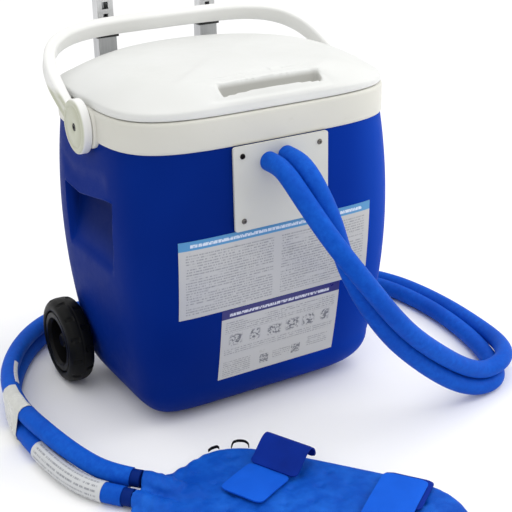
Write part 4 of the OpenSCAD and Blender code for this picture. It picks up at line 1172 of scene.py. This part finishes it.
def pad_solid():
    """slab with rounded sides and the two sleeves of the neck, before it is filled"""
    b = Build()
    rows = [pad_ring(inset(edge, 5.0), 0.6), pad_ring(inset(edge, 1.2), 3.0), pad_ring(edge, 7.0), pad_ring(inset(edge, 1.6), 10.6), pad_ring(inset(edge, 6), 12.4)]
    b.rings(rows)
    for ss, ts, zz in NECK:
        line_ = []
        rr = []
        sq = []
        for f in np.linspace(0, 1, 12):
            s_ = ss + 15 + 74 * f
            t_ = ts + (math.copysign(12, ts) * f)
            z_ = zz + (9.0 - zz) * float(sstep(0, 1, f))
            line_.append((*pad_xy(s_, t_), z_))
            rr.append(12.6)
            sq.append((1.0 + 0.5 * f, 1.0 - 0.42 * f))
        b.rings(tube_rows(line_, rr, 20, sq=sq))
    return b.make("pad_smooth")


pad = pad_solid()
md = pad.modifiers.new("remesh", "REMESH")
md.mode = "VOXEL"
md.voxel_size = 0.0036
md.use_smooth_shade = True
apply_mods(pad)
me = pad.data
nv = len(me.vertices)
co = np.empty(nv * 3)
me.vertices.foreach_get("co", co)
co = co.reshape(-1, 3) * 1000
st = np.array([pad_st(x, y) for x, y, _ in co])
# distance to the outline
E = np.array(edge)
seg_a, seg_b = E, np.roll(E, -1, axis=0)


def edge_dist(q):
    ab = seg_b - seg_a
    t = np.clip(((q - seg_a) * ab).sum(1) / (ab * ab).sum(1), 0, 1)
    return float(np.min(np.linalg.norm(q - (seg_a + ab * t[:, None]), axis=1)))


ed = np.array([edge_dist(q) for q in st])
D = np.array(DIMP)
dd = np.array([float(np.min(np.hypot(D[:, 0] - q[0], D[:, 1] - q[1]))) for q in st])
top = co[:, 2] > 5.0
neck_zone = st[:, 0] < 58
# welds start lower
w = np.exp(-(dd / 5.0) ** 2)
co[:, 2] = np.where(top & ~neck_zone, co[:, 2] - 3.6 * w, co[:, 2])
me.vertices.foreach_set("co", (co / 1000).ravel())
rest = co.copy()
g = pad.vertex_groups.new(name="pin")
pinned = [i for i in range(nv) if (co[i, 2] < 3.0) or dd[i] < 4.2 or ed[i] < 5.0 or st[i, 0] < 4]
g.add(pinned, 1.0, "REPLACE")
cl = pad.modifiers.new("fill", "CLOTH")
cs = cl.settings
cs.quality = 5
cs.mass = 0.3
cs.tension_stiffness = 18
cs.compression_stiffness = 18
cs.shear_stiffness = 8
cs.bending_stiffness = 0.4
cs.use_pressure = True
cs.uniform_pressure_force = 4.0
cs.vertex_group_mass = "pin"
cs.pin_stiffness = 1.0
cs.effector_weights.gravity = 0.0
cl.collision_settings.use_collision = False
sc = bpy.context.scene
for f in range(1, 21):
    sc.frame_set(f)
apply_mods(pad)
sc.frame_set(1)
me = pad.data
c2 = np.empty(nv * 3)
me.vertices.foreach_get("co", c2)
c2 = c2.reshape(-1, 3) * 1000
mv = c2 - rest
L = np.linalg.norm(mv, axis=1)
cap = np.where(neck_zone, 2.0, 6.0)
k = np.where(L > cap, cap / np.maximum(L, 1e-6), 1.0)
co = rest + mv * k[:, None]
co[:, 2] = np.maximum(co[:, 2], 0.4)
# puckers round the welds, wrinkles across the neck
ang = np.arctan2(st[:, 1], st[:, 0])
pk = 0.35 * np.sin(0.32 * st[:, 0] + 1.7 * np.sin(0.05 * st[:, 1])) * np.sin(0.27 * st[:, 1] + 1.1)
co[:, 2] = np.where(top, co[:, 2] + pk * sstep(3, 12, ed), co[:, 2])
nk = np.exp(-((st[:, 0] - 34) / 20) ** 2)
co[:, 2] = np.where(top, co[:, 2] + 1.5 * nk * np.sin(0.42 * st[:, 0] + 0.09 * st[:, 1]), co[:, 2])
co[:, 2] = np.where(neck_zone, co[:, 2], np.minimum(co[:, 2], 16.4))
me.vertices.foreach_set("co", (co / 1000).ravel())
sb = pad.modifiers.new("sub", "SUBSURF")
sb.levels = 1
sb.render_levels = 1
apply_mods(pad)
for p in pad.data.polygons:
    p.use_smooth = True
PAD_TOP = float(co[:, 2].max())


def pad_mat():
    m = Mat("pad_nylon", col(14, 84, 186), 0.46, spec=0.08)
    # fine coated weave in two directions
    v = m.scale(1, 1, 1, (0, 0, rad(-PA)))
    wv = m.node("ShaderNodeTexWave", wave_type="BANDS", bands_direction="X")
    wv.inputs["Scale"].default_value = 520
    wv.inputs["Distortion"].default_value = 0.4
    m.link(v, wv.inputs["Vector"])
    wh = m.node("ShaderNodeTexWave", wave_type="BANDS", bands_direction="Y")
    wh.inputs["Scale"].default_value = 520
    wh.inputs["Distortion"].default_value = 0.4
    m.link(v, wh.inputs["Vector"])
    weave = m.math("MULTIPLY", wv.outputs["Fac"], wh.outputs["Fac"])
    mott = m.noise(38, 5, 0.65)
    big = m.noise(11, 3)
    c = m.mix(m.map(mott, 0.38, 0.68, 0, 1), col(12, 78, 182), col(28, 100, 204))
    c = m.mix(m.map(big, 0.42, 0.7, 0, 0.7), c, col(6, 66, 166))
    m.colour(c)
    m.rough(m.math("ADD", m.map(mott, 0.3, 0.7, 0.38, 0.54), m.map(weave, 0, 1, 0.03, -0.03)))
    m.bump([(mott, 0.9), (weave, 0.05)])
    return m.m


M["pad_blue"] = pad_mat()
dress(pad, M["pad_blue"], "cooler", ("pad_cover",))


# the water bladder inside the cover
bl_ = Build()
bo = inset(edge, 26)
bl_.rings([pad_ring(inset(bo, 2.2), 3.2), pad_ring(bo, 4.6), pad_ring(inset(bo, 2.2), 6.0)])
blad = bl_.make("bladder_smooth", 60)
dress(blad, M["bladder"], "cooler", ("pad_bladder",))

# ------------------------------------------------------------------ straps
def strap_mat(name, a, b):
    m = Mat(name, a, 0.6, spec=0.1)
    v = m.scale(1, 1, 1, (0, 0, rad(-PA + 17)))
    wv = m.node("ShaderNodeTexWave", wave_type="BANDS", bands_direction="X")
    wv.inputs["Scale"].default_value = 700
    wv.inputs["Distortion"].default_value = 1.0
    m.link(v, wv.inputs["Vector"])
    fz = m.noise(1400, 2)
    big = m.noise(18, 3)
    m.colour(m.mix(m.map(big, 0.4, 0.65, 0, 1), a, b))
    m.rough(m.map(fz, 0.3, 0.7, 0.55, 0.72))
    m.bump([(wv.outputs["Fac"], 0.04), (fz, 0.08), (big, 0.5)])
    return m.m


def ribbon(name, base, rot, prof_, w, th, corner=9.0, n_across=16, cup=0.0):
    """strap: prof_ is a list of (distance out, height) for its underside; rounded corners at the first end"""
    pr = np.array(prof_, float)
    acc_ = np.concatenate([[0], np.cumsum(np.linalg.norm(np.diff(pr, axis=0), axis=1))])
    n = max(30, int(acc_[-1] / 2.5))
    q_ = np.linspace(0, acc_[-1], n)
    P = np.array([np.interp(q_, acc_, pr[:, i]) for i in (0, 1)]).T
    for _ in range(4):
        P[1:-1] = 0.25 * P[:-2] + 0.5 * P[1:-1] + 0.25 * P[2:]
    T = np.gradient(P, axis=0)
    T /= np.linalg.norm(T, axis=1)[:, None]
    Nn = np.stack([-T[:, 1], T[:, 0]], 1)
    c_, s_ = cd(rot), sd(rot)
    rows_ = []
    for side_ in (1, 0):
        for i in range(n):
            d_end = min(q_[i], acc_[-1] - q_[i])
            hw = w / 2
            if d_end < corner:
                hw -= corner - math.sqrt(max(0, corner ** 2 - (corner - d_end) ** 2))
            r_ = []
            for k in range(n_across + 1):
                f = -1 + 2 * k / n_across
                a = f * hw
                lift = cup * (abs(f) ** 2)
                rim_ = 0.35 if (abs(f) > 0.93) else 0
                off = (th - rim_) * side_
                x_ = P[i][0] + Nn[i][0] * off
                z_ = P[i][1] + Nn[i][1] * off + lift
                ls, lt = base[0] + a * c_ - x_ * s_, base[1] + a * s_ + x_ * c_
                r_.append((*pad_xy(ls, lt), z_))
            rows_.append(r_)
    top_, bot_ = rows_[:n], rows_[n:]
    b = Build()
    b.rings([t + u[::-1] for t, u in zip(top_, bot_)])
    return b.make(name, 55)


M["strap_blue"] = strap_mat("strap_azure", col(17, 93, 212), col(13, 86, 202))
# darker navy copy of the strap material, painted shade where the tab stands up; the flat tab of the second strap uses
# it too
M["strap_navy"] = strap_mat("strap_navy_shaded", col(2, 42, 142), col(2, 37, 130))
zb = 16.2
# the strap's light panel on the pad, then the darker tab that stands up over the far edge and turns down; its navy is
# painted shade on the standing face
s1a = ribbon("strap_panel_1", (128, 0), -17, [(27, zb + 0.4), (60, zb + 1.2), (98, zb + 0.4)], 66, 2.2)
s1b = ribbon("strap_tab_1", (131, 0), -17, [(96, zb + 2.9), (106, zb + 5.5), (118, zb + 17), (129, zb + 26), (138, zb + 27.5), (144, zb + 22), (147, zb + 8)], 74, 2.2, corner=7)
dress(s1a, M["strap_blue"], "cooler")
dress(s1b, M["strap_navy"], "cooler", ("strap_folded",))
s2 = ribbon("strap_panel_2", (322, 0), -6, [(24, zb + 1.0), (70, zb + 3.2), (118, zb + 3.4), (125, zb + 3.0)], 62, 2.0)
dress(s2, M["strap_blue"], "cooler", ("strap_flat",))
s2b = ribbon("strap_tab_2", (325, 0), -6, [(62, zb + 0.4), (100, zb + 0.9), (124, zb + 0.9), (131, zb + 0.2)], 68, 1.8)
dress(s2b, M["strap_navy"], "cooler")
# narrow elastic loops at the far edge
el = Build()


def loop_band(pts, wd, th=1.4):
    """flat band along pad-frame points (s, t, z), wd high"""
    pts = np.array(pts, float)
    q_ = np.linspace(0, len(pts) - 1, 24)
    P = np.array([np.interp(q_, range(len(pts)), pts[:, i]) for i in range(3)]).T
    for _ in range(3):
        P[1:-1] = 0.25 * P[:-2] + 0.5 * P[1:-1] + 0.25 * P[2:]
    T = np.gradient(P, axis=0)
    N_ = np.stack([-T[:, 1], T[:, 0]], 1)
    N_ /= np.maximum(np.linalg.norm(N_, axis=1), 1e-6)[:, None]
    rows_ = []
    for k_ in range(len(P)):
        r_ = []
        for a_, b_ in ((-0.5, -0.42), (0.5, -0.42), (0.62, 0), (0.5, 0.42), (-0.5, 0.42), (-0.62, 0)):
            s_, t_ = P[k_][0] + N_[k_][0] * a_ * th, P[k_][1] + N_[k_][1] * a_ * th
            r_.append((*pad_xy(s_, t_), P[k_][2] + b_ * wd))
        rows_.append(r_)
    return rows_


el.rings(loop_band([(56, 124.5, 11), (60, 128.6, 13.5), (66, 133, 14.5), (69, 134, 12)], 5.0))
el.rings(loop_band([(84, 142, 11), (85, 146.4, 17), (92, 149.2, 19), (101, 151.2, 18.5), (106, 151.5, 15), (107, 150, 11)], 4.5))
elast = el.make("elastic_loops", 50)
dress(elast, M["elastic_black"], "cooler", ("elastic_ends",))

# ------------------------------------------------------------------ hose objects and their points looked up again
for s, node, extra in ((-1, "supply_hose", [lab, "hose_couplings"]), (1, "return_hose", [tag, stp])):
    o = HOSES[s]
    pts = HOSES[(s, "pts")]

# ------------------------------------------------------------------ floor and light
fl = Build()
fl.v = [(-9000, -9000, -0.2), (9000, -9000, -0.2), (9000, 9000, -0.2), (-9000, 9000, -0.2)]
fl.f = [(0, 1, 2, 3)]
floor = fl.make("studio_floor")
mf = Mat("floor_pale", (0.92, 0.92, 0.92, 1), 0.9, spec=0.1)
mf.colour(mf.mix(mf.noise(0.8, 2), (0.93, 0.93, 0.93, 1), (0.91, 0.91, 0.915, 1)))
floor.data.materials.append(mf.m)

world = bpy.data.worlds.new("studio")
bpy.context.scene.world = world
world.use_nodes = True
wt = world.node_tree
bgn = wt.nodes["Background"]
wtc = wt.nodes.new("ShaderNodeTexCoord")
wsp = wt.nodes.new("ShaderNodeSeparateXYZ")
wt.links.new(wtc.outputs["Generated"], wsp.inputs[0])
wmr = wt.nodes.new("ShaderNodeMapRange")
wmr.interpolation_type = "SMOOTHSTEP"
for k_, v_ in (("From Min", -0.05), ("From Max", 0.75), ("To Min", 0.5), ("To Max", 1.2)):
    wmr.inputs[k_].default_value = v_
wt.links.new(wsp.outputs[2], wmr.inputs["Value"])
bgn.inputs[0].default_value = (1, 1, 1, 1)
wt.links.new(wmr.outputs["Result"], bgn.inputs[1])


def area(name, loc_, target, size, power, colr=(1, 1, 1)):
    d = bpy.data.lights.new(name, "AREA")
    d.shape = "RECTANGLE"
    d.size, d.size_y = size
    d.energy = power
    d.color = colr
    o = bpy.data.objects.new(name, d)
    bpy.context.collection.objects.link(o)
    o.location = loc_
    v = Vector(target) - Vector(loc_)
    o.rotation_euler = v.to_track_quat("-Z", "Y").to_euler()
    return o


area("key_top", (0.5, -0.3, 2.6), (0, 0, 0.2), (2.4, 2.4), 14)
area("fill_right", (2.5, -0.9, 1.3), (0, 0, 0.25), (1.5, 1.6), 22)
bpy.context.scene.view_settings.view_transform = "Standard"
bpy.context.scene.view_settings.look = "None"
